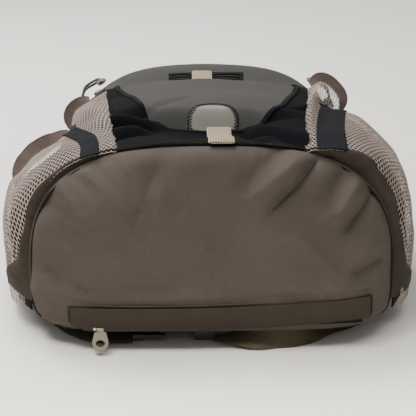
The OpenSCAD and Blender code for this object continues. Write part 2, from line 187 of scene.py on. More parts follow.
class Skin:
    """A lofted envelope. A place on it is (s, t): the distance round the section from the front's
    middle line, positive to the right, and the station along the pack."""

    STEP = 2.0

    def __init__(self, stations):
        self.w, self.top, self.tilt = (Track([(row[0], row[k]) for row in stations]) for k in (1, 2, 3))
        self.t0, self.t1 = stations[0][0], stations[-1][0]
        rows = int((self.t1 - self.t0) / self.STEP) + 2
        self.rows = np.linspace(self.t0, self.t1, rows)
        turn = np.linspace(0, math.pi, 721)
        raw = self.section(self.rows[:, None], math.pi / 2 - turn[None, :])
        run = np.cumsum(np.linalg.norm(np.diff(raw, axis=1), axis=2), axis=1)
        run = np.concatenate([np.zeros((rows, 1)), run], axis=1)
        self.reach = float(run[:, -1].min())
        self.s = np.arange(0, self.reach, self.STEP)
        self.p = np.stack(
            [np.stack([np.interp(self.s, run[r], raw[r, :, k]) for k in range(3)], -1) for r in range(rows)]
        )
        across = np.gradient(self.p, axis=1)
        along = np.gradient(self.p, axis=0)
        self.n = unit(np.cross(across, along))

    def section(self, t, angle):
        w, top, tilt = self.w(t), self.top(t), self.tilt(t)
        h = (top - BACK_Z) / np.cos(tilt)
        up, down = h * (1 - MID_FRAC), h * MID_FRAC
        c, s = np.cos(angle), np.sin(angle)
        front = s >= 0
        n = np.where(front, FRONT_N, BACK_N)
        x = w * rounded_unit(c, n)
        q = -up + np.where(front, up, down) * rounded_unit(s, n)
        return np.stack(np.broadcast_arrays(x, t + q * np.sin(tilt), top + q * np.cos(tilt)), -1)

    def look_up(self, table, s, t):
        s, t = np.broadcast_arrays(np.asarray(s, float), np.asarray(t, float))
        side = np.where(s < 0, -1.0, 1.0)
        i = np.clip((t - self.t0) / (self.t1 - self.t0) * (len(self.rows) - 1), 0, len(self.rows) - 1.001)
        j = np.clip(np.abs(s) / self.STEP, 0, len(self.s) - 1.001)
        i0, j0 = i.astype(int), j.astype(int)
        fi, fj = (i - i0)[..., None], (j - j0)[..., None]
        low = table[i0, j0] * (1 - fj) + table[i0, j0 + 1] * fj
        high = table[i0 + 1, j0] * (1 - fj) + table[i0 + 1, j0 + 1] * fj
        out = low * (1 - fi) + high * fi
        out[..., 0] *= side
        return out

    def at(self, s, t, off=0.0):
        """Points of the skin, moved out along its normal by off."""
        off = np.asarray(off, float)
        return self.look_up(self.p, s, t) + self.look_up(self.n, s, t) * off[..., None]

    def normal(self, s, t):
        return unit(self.look_up(self.n, s, t))

    def s_of_x(self, x, t):
        """The s at which the skin has that x, on the front."""
        s = np.asarray(x, float) * 1.0
        for _ in range(14):
            s = s + (x - self.at(s, t)[..., 0])
        return s

    def s_of_z(self, z, t):
        """The positive s at which the side of the skin has that height."""
        low = np.zeros(np.broadcast(z, t).shape)
        high = np.full(low.shape, self.reach)
        for _ in range(24):
            middle = 0.5 * (low + high)
            above = self.at(middle, t)[..., 2] > z
            low = np.where(above, middle, low)
            high = np.where(above, high, middle)
        return 0.5 * (low + high)

    def t_of_y(self, s, y):
        """The station at which the skin, at that s, has that y."""
        t = np.broadcast_to(np.asarray(y, float), np.shape(s)) * 1.0
        for _ in range(12):
            t = t + (y - self.at(s, t)[..., 1])
        return t


# The pack's stations: place, half width and height as fractions, and tilt
MAIN = Skin([(y * HALF_L, w * HALF_W, z * FRONT_Z, tilt) for y, w, z, tilt in (
    (-0.941, 1.0, 0.987, BASE_TILT), (-0.508, 1.007, 1.0, 0), (0, 0.986, 0.968, 0),
    (0.254, 0.957, 0.930, 0), (0.551, 0.907, 0.866, 0), (0.847, 0.807, 0.745, 0), (1.0, END_W, END_H, 0))])


def base_point(x, out, down):
    """A point of the base: x, how far out of the seam's plane, and how far down from its top."""
    x, out, down = np.broadcast_arrays(x, out, down)
    c, s = math.cos(BASE_TILT), math.sin(BASE_TILT)
    return np.stack([x, SEAM_Y - out * c - down * s, SEAM_Z + out * s - down * c], -1)


BASE_H = (SEAM_Z - BACK_Z) / math.cos(BASE_TILT)
BASE_UP = BASE_H * (1 - MID_FRAC)
BASE_DOWN = BASE_H * MID_FRAC


def base_ring(angle):
    """The base seam: x and how far down, for an angle measured from the right."""
    c, s = np.cos(angle), np.sin(angle)
    n = np.where(s >= 0, FRONT_N, BACK_N)
    return HALF_W * rounded_unit(c, n), BASE_UP - np.where(s >= 0, BASE_UP, BASE_DOWN) * rounded_unit(s, n)


def base_out(x, down):
    """How far the bottom panel stands out of the seam's plane, before its wrinkles."""
    q = BASE_UP - down
    n = np.where(q >= 0, FRONT_N, BACK_N)
    h = np.where(q >= 0, BASE_UP, BASE_DOWN)
    r = np.clip((np.abs(x / HALF_W) ** n + np.abs(q / h) ** n) ** (1 / n), 0, 1)
    return BULGE * (1 - r ** 3.2) ** 0.6


# ---------------------------------------------------------------- meshes
def new_object(name, verts, faces, uv=None):
    """A smooth mesh from points in millimetres. uv gives each vertex its place on the cloth, in metres."""
    mesh = bpy.data.meshes.new(name)
    mesh.from_pydata((np.asarray(verts, float) * MM).tolist(), [], [list(f) for f in faces])
    mesh.polygons.foreach_set("use_smooth", np.ones(len(mesh.polygons), bool))
    if uv is not None:
        layer = mesh.uv_layers.new(name="cloth")
        loops = np.empty(len(mesh.loops), int)
        mesh.loops.foreach_get("vertex_index", loops)
        layer.data.foreach_set("uv", (np.asarray(uv, float) * MM)[loops].ravel())
    mesh.update()
    obj = bpy.data.objects.new(name, mesh)
    bpy.context.scene.collection.objects.link(obj)
    return obj


def grid_faces(nu, nv, wrap_u=False, wrap_v=False):
    i = np.arange(nu if wrap_u else nu - 1)
    j = np.arange(nv if wrap_v else nv - 1)
    i, j = (a.ravel() for a in np.meshgrid(i, j, indexing="ij"))
    i1, j1 = (i + 1) % nu, (j + 1) % nv
    return np.stack([i * nv + j, i1 * nv + j, i1 * nv + j1, i * nv + j1], 1)


def sheet_mesh(name, p, uv, thick=0.0, turn=False, wrap_u=False):
    """A sheet from a grid of points, with its two cloth coordinates. Its outside faces along the cross
    product of the grid's two directions, or the other way with turn."""
    uv = np.stack(np.broadcast_arrays(*uv), -1)
    if turn:
        p, uv = p.transpose(1, 0, 2), uv.transpose(1, 0, 2)
    obj = new_object(name, p.reshape(-1, 3), grid_faces(*p.shape[:2], wrap_u), uv.reshape(-1, 2))
    if thick:
        add_thickness(obj, thick)
    return obj


def add_thickness(obj, thick, offset=-1.0):
    m = obj.modifiers.new("thickness", "SOLIDIFY")
    m.thickness = thick * MM
    m.offset = offset
    m.use_quality_normals = True


def frames_along(path, up):
    """Side and up vectors along a path, with up a vector or one per point."""
    path = np.asarray(path, float)
    tangent = unit(np.gradient(path, axis=0))
    up = np.broadcast_to(np.asarray(up, float), path.shape)
    side = unit(np.cross(tangent, up))
    return side, np.cross(side, tangent)


def smooth_path(points, count):
    """A smooth curve through points, with count points equally spaced along it."""
    p = np.asarray(points, float)
    d = run_along(p)
    fine = np.linspace(0, d[-1], 12 * count)
    return resampled(np.stack([Track(list(zip(d, p[:, k])))(fine) for k in range(3)], 1), count)


def capped_faces(rings, points):
    """Faces of a closed rod: its rings of points, and a cap at either end."""
    faces = grid_faces(rings, points, False, True)[:, ::-1].tolist()
    faces.append(list(range(points)))
    faces.append([(rings - 1) * points + k for k in range(points)][::-1])
    return faces


def averaged(path, times):
    """A path smoothed by averaging each point with its neighbours, with its ends held."""
    for _ in range(times):
        path[1:-1] = 0.25 * path[:-2] + 0.5 * path[1:-1] + 0.25 * path[2:]
    return path


def ribbon_mesh(name, path, up, width, thick, across=9):
    """Webbing: a flat band along a path, with rounded selvedges. width may vary along it."""
    path = np.asarray(path, float)
    side, normal = frames_along(path, up)
    width = np.broadcast_to(np.asarray(width, float), len(path))
    u = np.linspace(-1, 1, across)
    lift = 0.5 * thick * np.sqrt(np.clip(1 - np.abs(u) ** 10, 0, 1))
    top = path[:, None] + side[:, None] * (u[None, :, None] * width[:, None, None] / 2)
    upper = top + normal[:, None] * lift[None, :, None]
    lower = (top - normal[:, None] * lift[None, :, None])[:, ::-1]
    ring = np.concatenate([upper, lower], axis=1)
    uv = np.zeros(ring.shape[:2] + (2,))
    uv[..., 0] = np.concatenate([u, u[::-1]])[None, :] * width[:, None] / 2
    uv[..., 1] = run_along(path)[:, None]
    return new_object(name, ring.reshape(-1, 3), capped_faces(*ring.shape[:2]), uv.reshape(-1, 2))


def tube_mesh(name, path, radius, sides=8, closed=False):
    """A round tube along a path. radius may vary along it."""
    path = np.asarray(path, float)
    around = np.roll(path, -1, 0) - np.roll(path, 1, 0)
    tangent = unit(around if closed else np.gradient(path, axis=0))
    side = np.zeros_like(path)
    guide = np.array([0.0, 0.0, 1.0]) if abs(tangent[0, 2]) < 0.9 else np.array([1.0, 0.0, 0.0])
    for i in range(len(path)):
        guide = unit(guide - tangent[i] * (guide @ tangent[i]))
        side[i] = guide
    other = np.cross(tangent, side)
    a = np.linspace(0, 2 * math.pi, sides, endpoint=False)
    radius = np.broadcast_to(np.asarray(radius, float), len(path))
    ring = path[:, None] + radius[:, None, None] * (
        np.cos(a)[None, :, None] * side[:, None] + np.sin(a)[None, :, None] * other[:, None]
    )
    n = len(path)
    faces = grid_faces(n, sides, True, True)[:, ::-1].tolist() if closed else capped_faces(n, sides)
    return new_object(name, ring.reshape(-1, 3), faces)


def join(name, objects):
    """One object from several, with their modifiers applied."""
    bpy.context.view_layer.update()
    graph = bpy.context.evaluated_depsgraph_get()
    for o in objects:
        if o.modifiers:
            mesh = bpy.data.meshes.new_from_object(o.evaluated_get(graph))
            o.modifiers.clear()
            o.data = mesh
    with bpy.context.temp_override(active_object=objects[0], selected_editable_objects=objects):
        bpy.ops.object.join()
    objects[0].name = name
    return objects[0]


def stitches(name, points, normals, pitch=3.2, length=2.2, radius=0.22, lift=0.12):
    """A row of stitches along a line on a surface: short threads that dip at both ends."""
    points, normals = np.asarray(points, float), np.asarray(normals, float)
    d = run_along(points)
    starts = np.arange(0.5 * (pitch - length), d[-1] - length, pitch)
    along = np.linspace(0, 1, 5)
    verts, faces = [], []
    sides = 5
    a = np.linspace(0, 2 * math.pi, sides, endpoint=False)
    for start in starts:
        at = start + along * length
        p = np.stack([np.interp(at, d, points[:, k]) for k in range(3)], 1)
        n = unit(np.stack([np.interp(at, d, normals[:, k]) for k in range(3)], 1))
        arch = lift - 2.2 * radius * (np.abs(2 * along - 1) ** 3)
        p = p + n * arch[:, None]
        side = np.cross(unit(p[-1] - p[0]), n)
        turned = np.cos(a)[None, :, None] * side[:, None] + np.sin(a)[None, :, None] * n[:, None]
        ring = p[:, None] + radius * turned
        base = len(verts)
        verts.extend(ring.reshape(-1, 3))
        faces.extend((grid_faces(len(along), sides, False, True) + base).tolist())
    return new_object(name, np.array(verts), faces)


def paint(obj, material):
    obj.data.materials.clear()
    obj.data.materials.append(material)


def place(obj, body, slot, material, *nodes):
    """Gives a piece its material and its body, and hides the CAD nodes that it stands for. The slot is not
    used.
    """
    paint(obj, material)
    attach(obj, body)
    if nodes:
        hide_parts(*nodes)


# ---------------------------------------------------------------- materials
class Shade:
    """A material under construction: a Principled surface and short names for the nodes that feed it."""

    def __init__(self, name, colour, rough, metallic=0.0, sheen=0.0):
        self.mat = bpy.data.materials.new(name)
        self.mat.use_nodes = True
        self.tree = self.mat.node_tree
        self.bsdf = self.tree.nodes["Principled BSDF"]
        self.set("Base Color", (*colour, 1.0))
        self.set("Roughness", rough)
        self.set("Metallic", metallic)
        if sheen:
            self.set("Sheen Weight", sheen)
            self.set("Sheen Roughness", 0.45)

    def feed(self, socket, value):
        """Gives a socket a value, or links it to another node's output."""
        if hasattr(value, "node"):
            self.tree.links.new(value, socket)
        else:
            socket.default_value = value

    def set(self, socket, value):
        self.feed(self.bsdf.inputs[socket], value)

    def node(self, kind, inputs=(), **settings):
        n = self.tree.nodes.new("ShaderNode" + kind)
        for key, value in settings.items():
            setattr(n, key, value)
        for key, value in dict(inputs).items():
            self.feed(n.inputs[key], value)
        return n

    def place(self, cloth=False):
        """Coordinates in metres: on the cloth, or in the object."""
        if cloth:
            return self.node("UVMap", uv_map="cloth").outputs["UV"]
        return self.node("TexCoord").outputs["Object"]

    def noise(self, at, size, detail=3.0, rough=0.55):
        inputs = {"Vector": at, "Scale": 1 / size, "Detail": detail, "Roughness": rough}
        return self.node("TexNoise", inputs).outputs["Fac"]

    def waves(self, at, pitch, direction="X", warp=0.0):
        inputs = {"Vector": at, "Scale": math.pi / (10 * pitch), "Distortion": warp, "Detail": 1.0}
        return self.node("TexWave", inputs, bands_direction=direction).outputs["Fac"]

    def calc(self, operation, a, b=0.0):
        return self.node("Math", {0: a, 1: b}, operation=operation).outputs["Value"]

    def ramp(self, value, low, high, out_low=0.0, out_high=1.0):
        inputs = {"Value": value, "From Min": low, "From Max": high, "To Min": out_low, "To Max": out_high}
        return self.node("MapRange", inputs).outputs["Result"]

    def mix(self, amount, a, b):
        n = self.node("Mix", data_type="RGBA")
        for i, value in ((0, amount), (6, a), (7, b)):
            self.feed(n.inputs[i], value)
        return n.outputs[2]

    def bump(self, height, depth, strength=1.0):
        """Bumps the surface by a 0 to 1 height of that depth in millimetres, over any earlier bump."""
        inputs = {"Height": height, "Distance": depth * MM, "Strength": strength}
        earlier = self.bsdf.inputs["Normal"].links
        if earlier:
            inputs["Normal"] = earlier[0].from_socket
        self.set("Normal", self.node("Bump", inputs).outputs["Normal"])


def lit(colour, gain):
    """A colour made lighter or darker, with its alpha."""
    return (*(min(1.0, c * gain) for c in colour), 1)


def linear(r, g, b):
    """A colour from display values of 0 to 255."""
    return tuple(((c / 255 + 0.055) / 1.055) ** 2.4 if c > 10 else c / 3294 for c in (r, g, b))


def woven(name, colour, rough, pitch, depth, mottle, sheen=0.0, cloth=True, worn=0.0, spec=0.06):
    """Plain-woven cloth: two sets of threads with painted shade in the gaps between them, uneven colour,
    and a paler bloom where it is worn.
    Pitch and depth are in millimetres."""
    colour = linear(*colour)
    m = Shade(name, colour, rough, sheen=sheen)
    at = m.place(cloth)
    warp = m.waves(at, pitch * MM, "X", 0.4)
    weft = m.waves(at, pitch * MM, "Y", 0.4)
    threads = m.calc("MULTIPLY", warp, weft)
    wide = m.noise(m.place(), 0.035, 4.0)
    fine = m.noise(m.place(), 0.0022, 3.0, 0.65)
    tone = m.mix(m.ramp(wide, 0.3, 0.7), lit(colour, 1 - mottle), lit(colour, 1 + mottle))
    tone = m.mix(m.ramp(fine, 0.35, 0.75, 0.0, 0.55), tone, lit(colour, 1 + 1.6 * mottle))
    # Painted shade: the gaps between the threads are darkened.
    tone = m.mix(m.ramp(threads, 0.0, 1.0, 0.28, 0.0), tone, lit(colour, 0.45))
    if worn:
        dust = m.ramp(m.noise(m.place(), 0.011, 5.0, 0.7), 0.54, 0.74)
        tone = m.mix(m.calc("MULTIPLY", dust, worn), tone, (*linear(150, 140, 128), 1))
    m.set("Base Color", tone)
    m.set("Specular IOR Level", spec)
    m.bump(threads, depth)
    m.bump(fine, 0.5 * depth)
    return m.mat


def webbing(name, colour, rough=0.75, pitch=1.5, depth=0.22, ribs=False):
    """Webbing: herringbone, or ribs along its length, with painted shade in the weave's low parts and a
    painted highlight on its raised parts.
    """
    colour = linear(*colour)
    m = Shade(name, colour, rough)
    m.set("Specular IOR Level", 0.1)
    at = m.place(True)
    if ribs:
        height = m.waves(at, 2.1 * MM, "X")
        cross = m.waves(at, 0.9 * MM, "Y", 0.8)
        height = m.calc("ADD", m.calc("MULTIPLY", height, 0.8), m.calc("MULTIPLY", cross, 0.2))
    else:
        parts = m.node("SeparateXYZ", {"Vector": at})
        fold = m.calc("PINGPONG", parts.outputs["X"], 2.6 * MM)
        slant = m.calc("ADD", m.calc("MULTIPLY", fold, 1.1), parts.outputs["Y"])
        height = m.calc("PINGPONG", m.calc("DIVIDE", slant, pitch * MM / 2), 1.0)
    fine = m.noise(m.place(), 0.0016, 3.0, 0.7)
    # Painted shade in the low parts of the weave and a painted highlight on its raised parts.
    tone = m.mix(m.ramp(height, 0.0, 1.0), lit(colour, 0.55), lit(colour, 1.15))
    tone = m.mix(m.ramp(fine, 0.35, 0.7, 0.0, 0.3), tone, lit(colour, 1.5))
    m.set("Base Color", tone)
    m.bump(height, depth)
    m.bump(fine, 0.08)
    return m.mat


def moulded(name, colour, rough, grain=0.04, metallic=0.0):
    """Plastic, rubber or metal with a fine grain and slightly uneven gloss."""
    m = Shade(name, linear(*colour), rough, metallic)
    wide = m.noise(m.place(), 0.012, 3.0)
    m.set("Roughness", m.ramp(wide, 0.3, 0.7, rough * 0.85, min(1.0, rough * 1.2)))
    m.bump(m.noise(m.place(), 0.0007, 2.0), grain)
    return m.mat


def film(name, colour):
    """Frosted, slightly milky polymer film."""
    m = Shade(name, linear(*colour), 0.28)
    m.set("Transmission Weight", 0.55)
    m.set("IOR", 1.4)
    m.bump(m.noise(m.place(), 0.02, 3.0), 0.8)
    return m.mat


# Colours are display values. After them come the roughness, and for cloth the pitch, depth and mottle.
TAUPE = woven("taupe_nylon", (74, 67, 61), 0.8, 0.62, 0.10, 0.08, worn=0.045, spec=0.12)
# A darker copy of the taupe nylon: painted shade, for the side boots and the storm flap.
TAUPE_SHADED = woven("taupe_nylon_painted_shade", (57, 51, 45), 0.8, 0.62, 0.10, 0.10)
GREY = woven("grey_shell", (66, 65, 63), 0.85, 0.55, 0.08, 0.06)
# The side walls' dark cloth: partly the cloth's own dark colour, partly painted shade behind the bottle
# pockets' mesh.
DARK_WALL = woven("side_wall_dark_cloth_and_painted_shade", (34, 32, 32), 0.75, 0.55, 0.08, 0.1)
BLACK_STRETCH = woven("black_stretch", (10, 11, 15), 0.9, 0.5, 0.06, 0.15)
BLACK_PLAIN = woven("band_cloth", (22, 23, 27), 0.85, 0.7, 0.08, 0.12)
OLIVE_PLAIN = woven("olive_piping", (142, 140, 122), 0.7, 0.6, 0.08, 0.1, 0.1, False)
KNIT = woven("knit_binding", (96, 84, 79), 0.9, 0.8, 0.16, 0.12, 0.05)
YARN = moulded("pocket_mesh", (138, 124, 116), 0.85, 0.05)
CREAM = webbing("cream_webbing", (140, 128, 111), ribs=True)
OLIVE = webbing("olive_webbing", (96, 90, 74))
LOOP_WEB = webbing("loop_webbing", (84, 77, 62), 0.75, 1.7, 0.3)
BLACK_WEB = webbing("black_webbing", (38, 37, 36), 0.7)
THREAD = moulded("thread", (54, 48, 42), 0.75, 0.02)
PALE_THREAD = moulded("pale_thread", (150, 142, 128), 0.75, 0.02)
REFLECTIVE = moulded("reflective", (92, 89, 80), 0.45, 0.03)
ZIP_TAPE = webbing("zip_tape", (28, 28, 29), 0.75, 0.8, 0.08)
ZIP_METAL = moulded("zip_metal", (170, 170, 168), 0.3, 0.01, 0.9)
PULLER = moulded("puller_metal", (134, 128, 110), 0.42, 0.02, 0.5)
RUBBER = moulded("pull_rubber", (44, 46, 39), 0.55, 0.05)
GRIP = moulded("pull_grip", (72, 74, 58), 0.5, 0.05)
PLASTIC = moulded("black_plastic", (30, 30, 31), 0.45, 0.03)
BACK_MESH = woven("back_mesh", (44, 44, 46), 0.85, 1.6, 0.5, 0.12, 0.1, False)
FRAME_PLASTIC = moulded("frame_plastic", (210, 208, 200), 0.5)
ALLOY = moulded("stay_alloy", (190, 192, 196), 0.35, 0.02, 1.0)
LINING = woven("lining", (104, 110, 116), 0.5, 0.5, 0.05, 0.1, 0.05, False)
FILM = film("reservoir_film", (176, 205, 220))
CAP_PLASTIC = moulded("cap_plastic", (38, 92, 140), 0.3)


# ---------------------------------------------------------------- surfaces
def front_dip(s, t):
    """How the front panel leaves its envelope: a hollow behind the stretch pocket's hem, a crest past it,
    and a valley at the lid's fold."""
    middle = np.exp(-(np.abs(s + 4) / 72) ** 4)
    edge = -122 + 9 * soft_noise(s / 30 + 2, 0.4)
    hollow = -(23 + 4 * bump_at(s, -44, 22)) * (1 - step(t, edge - 20, edge + 7)) * middle
    crest = 3.5 * bump_at(t, -92, 30) * middle
    valley = -VALLEY * step(t, 2, HINGE_Y) * np.exp(-(np.abs(s) / VALLEY_HALF) ** 6)
    folds = creases(s, t, (((-60, -128), (-10, -84), 9, 1.6), ((48, -128), (14, -76), 9, 1.4)))
    return hollow + crest + valley + folds + 1.2 * soft_noise(s / 34 + 5, t / 40)


# The stretch cloth's folds, long soft ones that fan out from the hem's corners
POCKET_FOLDS = (
    ((-106, -140), (-40, -150), 8, 4.6), ((-96, -188), (-44, -158), 9, 3.0),
    ((-100, -96), (-74, -128), 7, 2.4), ((26, -146), (78, -212), 8, 5.0),
    ((44, -132), (104, -96), 7, 4.0), ((50, -176), (26, -204), 7, 2.4), ((100, -60), (72, -92), 8, 2.6))


def pocket_folds(s, t):
    return 2.0 * creases(s, t, POCKET_FOLDS) + 1.2 * soft_noise(s / 18, t / 22 + 3)


def stretch_off(s, t):
    """How far the stretch pocket lies off the main envelope."""
    middle = np.exp(-(np.abs(s) / 60) ** 2.8)
    near_hem = step(t, SEAM_Y + 2, HEM_Y - 6)
    sag = -15.5 * middle * near_hem
    wings = 1.0 * (1 - middle) - 5.0 * step(t, 0, 52)
    base = 1.0 + sag + wings + pocket_folds(s, t) * step(t, SEAM_Y, SEAM_Y + 16)
    return np.maximum(base, front_dip(s, t) + 1.4)


def between(low, high, f):
    """Rows of values from low to high, at the fractions f."""
    return low[:, None] * (1 - f) + high[:, None] * f


def skin_patch(name, low, high, t, off, columns, thick=0.0):
    """A patch of the main skin between two edges, each given as s along the stations t."""
    s = between(low, high, np.linspace(0, 1, columns))
    t = t[:, None]
    return sheet_mesh(name, MAIN.at(s, t, off(s, t) if callable(off) else off), (s, t), thick, turn=True)


def plan_to_skin(xy):
    """Places on the main skin below points seen from the front."""
    s = MAIN.s_of_x(xy[..., 0], xy[..., 1])
    return s, MAIN.t_of_y(s, xy[..., 1])


def resampled(path, count):
    """A path's course as count points, equally spaced."""
    d = run_along(path)
    at = np.linspace(0, d[-1], count)
    return np.stack([np.interp(at, d, path[:, k]) for k in range(path.shape[1])], 1)


def rounded_polyline(points, radius, step_mm=2.0):
    """An open path through points with its corners rounded."""
    pts = [np.array(p, float) for p in points]
    out = [pts[0]]
    for a, b, c in zip(pts, pts[1:], pts[2:]):
        u, v = unit(a - b), unit(c - b)
        half = 0.5 * math.acos(float(np.clip(u @ v, -1, 1)))
        reach = min(radius / math.tan(half), 0.45 * np.linalg.norm(a - b), 0.45 * np.linalg.norm(c - b))
        for f in np.linspace(0, 1, 13):
            out.append(b + u * reach * (1 - f) ** 2 + v * reach * f ** 2)
    out = np.array(out + pts[-1:])
    return resampled(out, max(2, int(run_along(out)[-1] / step_mm)))


def pocket_edge(y):
    """The half width of the stretch pocket."""
    return 72 + 0.105 * (y - SEAM_Y)


HEM_CURVE = rounded_polyline(
    [(-90, 52), (-83, -10), (-50, HEM_Y), (36, HEM_Y), (62, -110), (80, -30), (86, 10), (88, 52)], 30, 1.5)
# The middles of the two cream tabs and of the disc, and the disc's radius
NEAR_TAB_X = 7.5
FAR_TAB_X = -4.0
DISC_X = 3.0
DISC_R = 20.5


# ---------------------------------------------------------------- base
# About how far the bottom panel's middle lies from its seam
BASE_REACH = 72
# The bottom panel's long creases
BASE_CREASES = (
    ((84, 8), (40, 52), 10, 3.2), ((66, 6), (24, 40), 10, -2.6), ((126, 30), (100, 66), 12, 4.0),
    ((112, 24), (92, 52), 9, -2.2), ((132, 84), (104, 100), 10, 2.8), ((-134, 88), (-84, 116), 14, 3.2),
    ((-118, 22), (-88, 64), 16, -2.4), ((-40, 10), (-60, 60), 18, 2.6), ((60, 60), (96, 96), 16, -2.4))


def base_wrinkles(x, down, rho, run):
    """Relief of the bottom panel: puckers from its seam, wide soft dents, and a few long creases."""
    from_seam = (1 - rho) * BASE_REACH
    pucker = 1.5 * fold_noise(run / 13, from_seam / 60) + 0.5 * fold_noise(run / 5 + 9, from_seam / 40)
    relief = pucker * np.exp(-from_seam / 16) * step(from_seam, 0, 3)
    relief = relief + 4.2 * soft_noise(x / 52 + 2, down / 38) * step(from_seam, 2, 26)
    relief = relief + 1.0 * fold_noise(x / 24, down / 17 + 4) * step(from_seam, 2, 16)
    relief = relief + creases(x, down, BASE_CREASES)
    # the cloth lies flatter under the storm flap, and dips at the seam
    under_flap = step(down, 106, 116) * (1 - step(down, 141, 148)) * (1 - step(np.abs(x), 118, 130))
    return 1.9 * relief * (1 - 0.85 * under_flap) - 6.5 * np.exp(-from_seam / 3.2)


def bottom_panel():
    a = np.linspace(0, 2 * math.pi, 401)[:-1]
    x1, down1 = base_ring(a)
    run = np.concatenate([[0], np.cumsum(np.hypot(np.diff(x1), np.diff(down1)))])
    rho = 1 - (1 - np.linspace(0, 1, 96)) ** 1.25
    x = rho[:, None] * x1
    down = BASE_UP + rho[:, None] * (down1 - BASE_UP)
    out = base_out(x, down) + base_wrinkles(x, down, rho[:, None], run[None, :])
    p = base_point(x, out - 0.6, down)
    obj = sheet_mesh("bottom_cloth", p, (x, -down), CLOTH, turn=True, wrap_u=True)
    place(obj, "pack_body", "taupe_nylon", TAUPE, "bottom_panel")


def base_lift(x, down, lift):
    """A point over the bottom panel, lifted off its smooth bulge."""
    return base_point(x, base_out(x, down) + lift, down)


# How far along the pack each side boot reaches from the seam, by height
BOOT_REACH = {1: Track([(15, 44), (36, 30), (58, 9), (90, 7), (122, 9), (154, 6)]),
              -1: Track([(15, 46), (42, 30), (66, 7), (95, 5), (126, 9), (154, 6)])}


def nearest_on_seam(edge):
    """The base seam's point nearest each point of an edge, seen along the pack."""
    x, down = base_ring(np.linspace(0, 2 * math.pi, 3000))
    ring = base_point(x, np.full(x.shape, -8.0), down)
    gap = (edge[:, None, 0] - ring[None, :, 0]) ** 2 + (edge[:, None, 2] - ring[None, :, 2]) ** 2
    return averaged(ring[np.argmin(gap, axis=1)], 20)


def boot_strip(name, edge, puff, node):
    """A rolled band of the base cloth from the base seam out to an edge."""
    seam = nearest_on_seam(edge)
    v = np.linspace(0, 1, 24)[None, :, None]
    outward = edge - np.array([0.0, 0.0, 80.0])
    outward[:, 1] = 0
    outward = unit(outward) * 0.72 + np.array([0, -0.7, 0.0])
    run = run_along(edge)[:, None]
    f = v[..., 0]
    slack = 1 + 0.5 * fold_noise(run / 17 + len(name), f * 1.5) + 0.3 * fold_noise(run / 7, f * 2 + 4)
    roll = (np.sin(math.pi * f) ** 0.7) * puff[:, None] * slack
    p = seam[:, None] * (1 - v) + edge[:, None] * v + outward[:, None] * roll[..., None]
    obj = sheet_mesh(name, p, (run, f * 14), CLOTH)
    # The boot takes the darker copy of the taupe nylon: painted shade.
    place(obj, "pack_body", "taupe_nylon", TAUPE_SHADED, node)


def side_boot(side):
    name = SIDES[side]
    pocket = POCKET[side]
    low, high = pocket.ends(SEAM_Y + 6)
    s = np.arange(float(low), float(high), 1.1)
    t = np.full(s.shape, SEAM_Y + 6.0)
    for _ in range(12):
        t = 0.5 * t + 0.5 * (SEAM_Y + BOOT_REACH[side](pocket.point(s, t)[..., 2]))
    edge = pocket.at(s, t, 1.0)
    puff = np.interp(s, [low, -4, 26, 60, 110, float(high)], [1.0, 2.2, 5.0, 5.0, 3.4, 2.5])
    puff = puff * (1.25 if side > 0 else 0.9)
    if side < 0:
        edge, puff = edge[::-1], puff[::-1]
    boot_strip(f"boot_roll_{name}", edge, puff, f"boot_{name}")


def front_boot():
    x = np.linspace(-74, 74, 136)
    t = np.full(x.shape, SEAM_Y + 5.5)
    edge = MAIN.at(MAIN.s_of_x(x, t), t, 1.6)
    boot_strip("boot_roll_front", edge, 0.6 + 0.5 * step(np.abs(x), 30, 70), "boot_front")


def seam_cord():
    """A dark cord in the base seam's valley: it stands for the seam's edge, and its dark thread colour is
    painted shade in the valley.
    """
    a = np.linspace(0, 2 * math.pi, 420, endpoint=False)
    x, down = base_ring(a)
    p = base_point(x * 1.004, np.full(a.shape, -7.0), BASE_UP + (down - BASE_UP) * 1.004)
    obj = tube_mesh("seam_cord_painted_shade", p, 0.9, 8, closed=True)
    # The cord's dark thread colour is painted shade in the seam's valley.
    place(obj, "pack_body", "taupe_nylon", THREAD)


# ---------------------------------------------------------------- front
def front_panel():
    t = np.linspace(SEAM_Y + 2, HINGE_Y - 0.3, 150)
    edge = MAIN.s_of_x(FRONT_X, t)
    obj = skin_patch("front_cloth", -edge, edge, t, lambda s, u: front_dip(s, u) - 0.2, 110, CLOTH)
    place(obj, "pack_body", "grey_shell", GREY, "front_panel")


def stretch_pocket():
    """Black stretch cloth between the hem and the pocket's outer edge."""
    count = 280
    inner = resampled(HEM_CURVE, count)
    low = SEAM_Y + 4.0
    wide, narrow = pocket_edge(52), pocket_edge(low)
    outline = [(-wide, 52), (-narrow, low), (narrow, low), (wide, 52)]
    outer = resampled(rounded_polyline(outline, 4, 1.5), count)
    v = np.linspace(0, 1, 50)
    xy = inner[:, None] * (1 - v[None, :, None]) + outer[:, None] * v[None, :, None]
    s, t = plan_to_skin(xy)
    p = MAIN.at(s, t, stretch_off(s, t) + 0.9 * np.exp(-v[None, :] * 14))
    obj = sheet_mesh("stretch_cloth", p[::-1], (s[::-1], t[::-1]), 0.9)
    place(obj, "pack_body", "black_stretch", BLACK_STRETCH, "stretch_pocket")


def stretch_hem():
    s, t = plan_to_skin(HEM_CURVE)
    normal = MAIN.normal(s, t)
    lift = stretch_off(s, t)
    obj = ribbon_mesh("hem_elastic", MAIN.at(s, t, lift + 0.7), normal, 5.0, 1.8, 11)
    place(obj, "pack_body", "black_webbing", BLACK_STRETCH, "stretch_hem")
    line = stitches("hem_stitch", MAIN.at(s, t, lift + 1.7), normal, 3.0, 2.0, 0.18, 0.1)
    place(line, "pack_body", "black_webbing", THREAD)


def middle_up(path):
    """The up side of a band that lies along the pack's middle plane."""
    return np.cross(np.array([1.0, 0, 0]), unit(np.gradient(path, axis=0)))


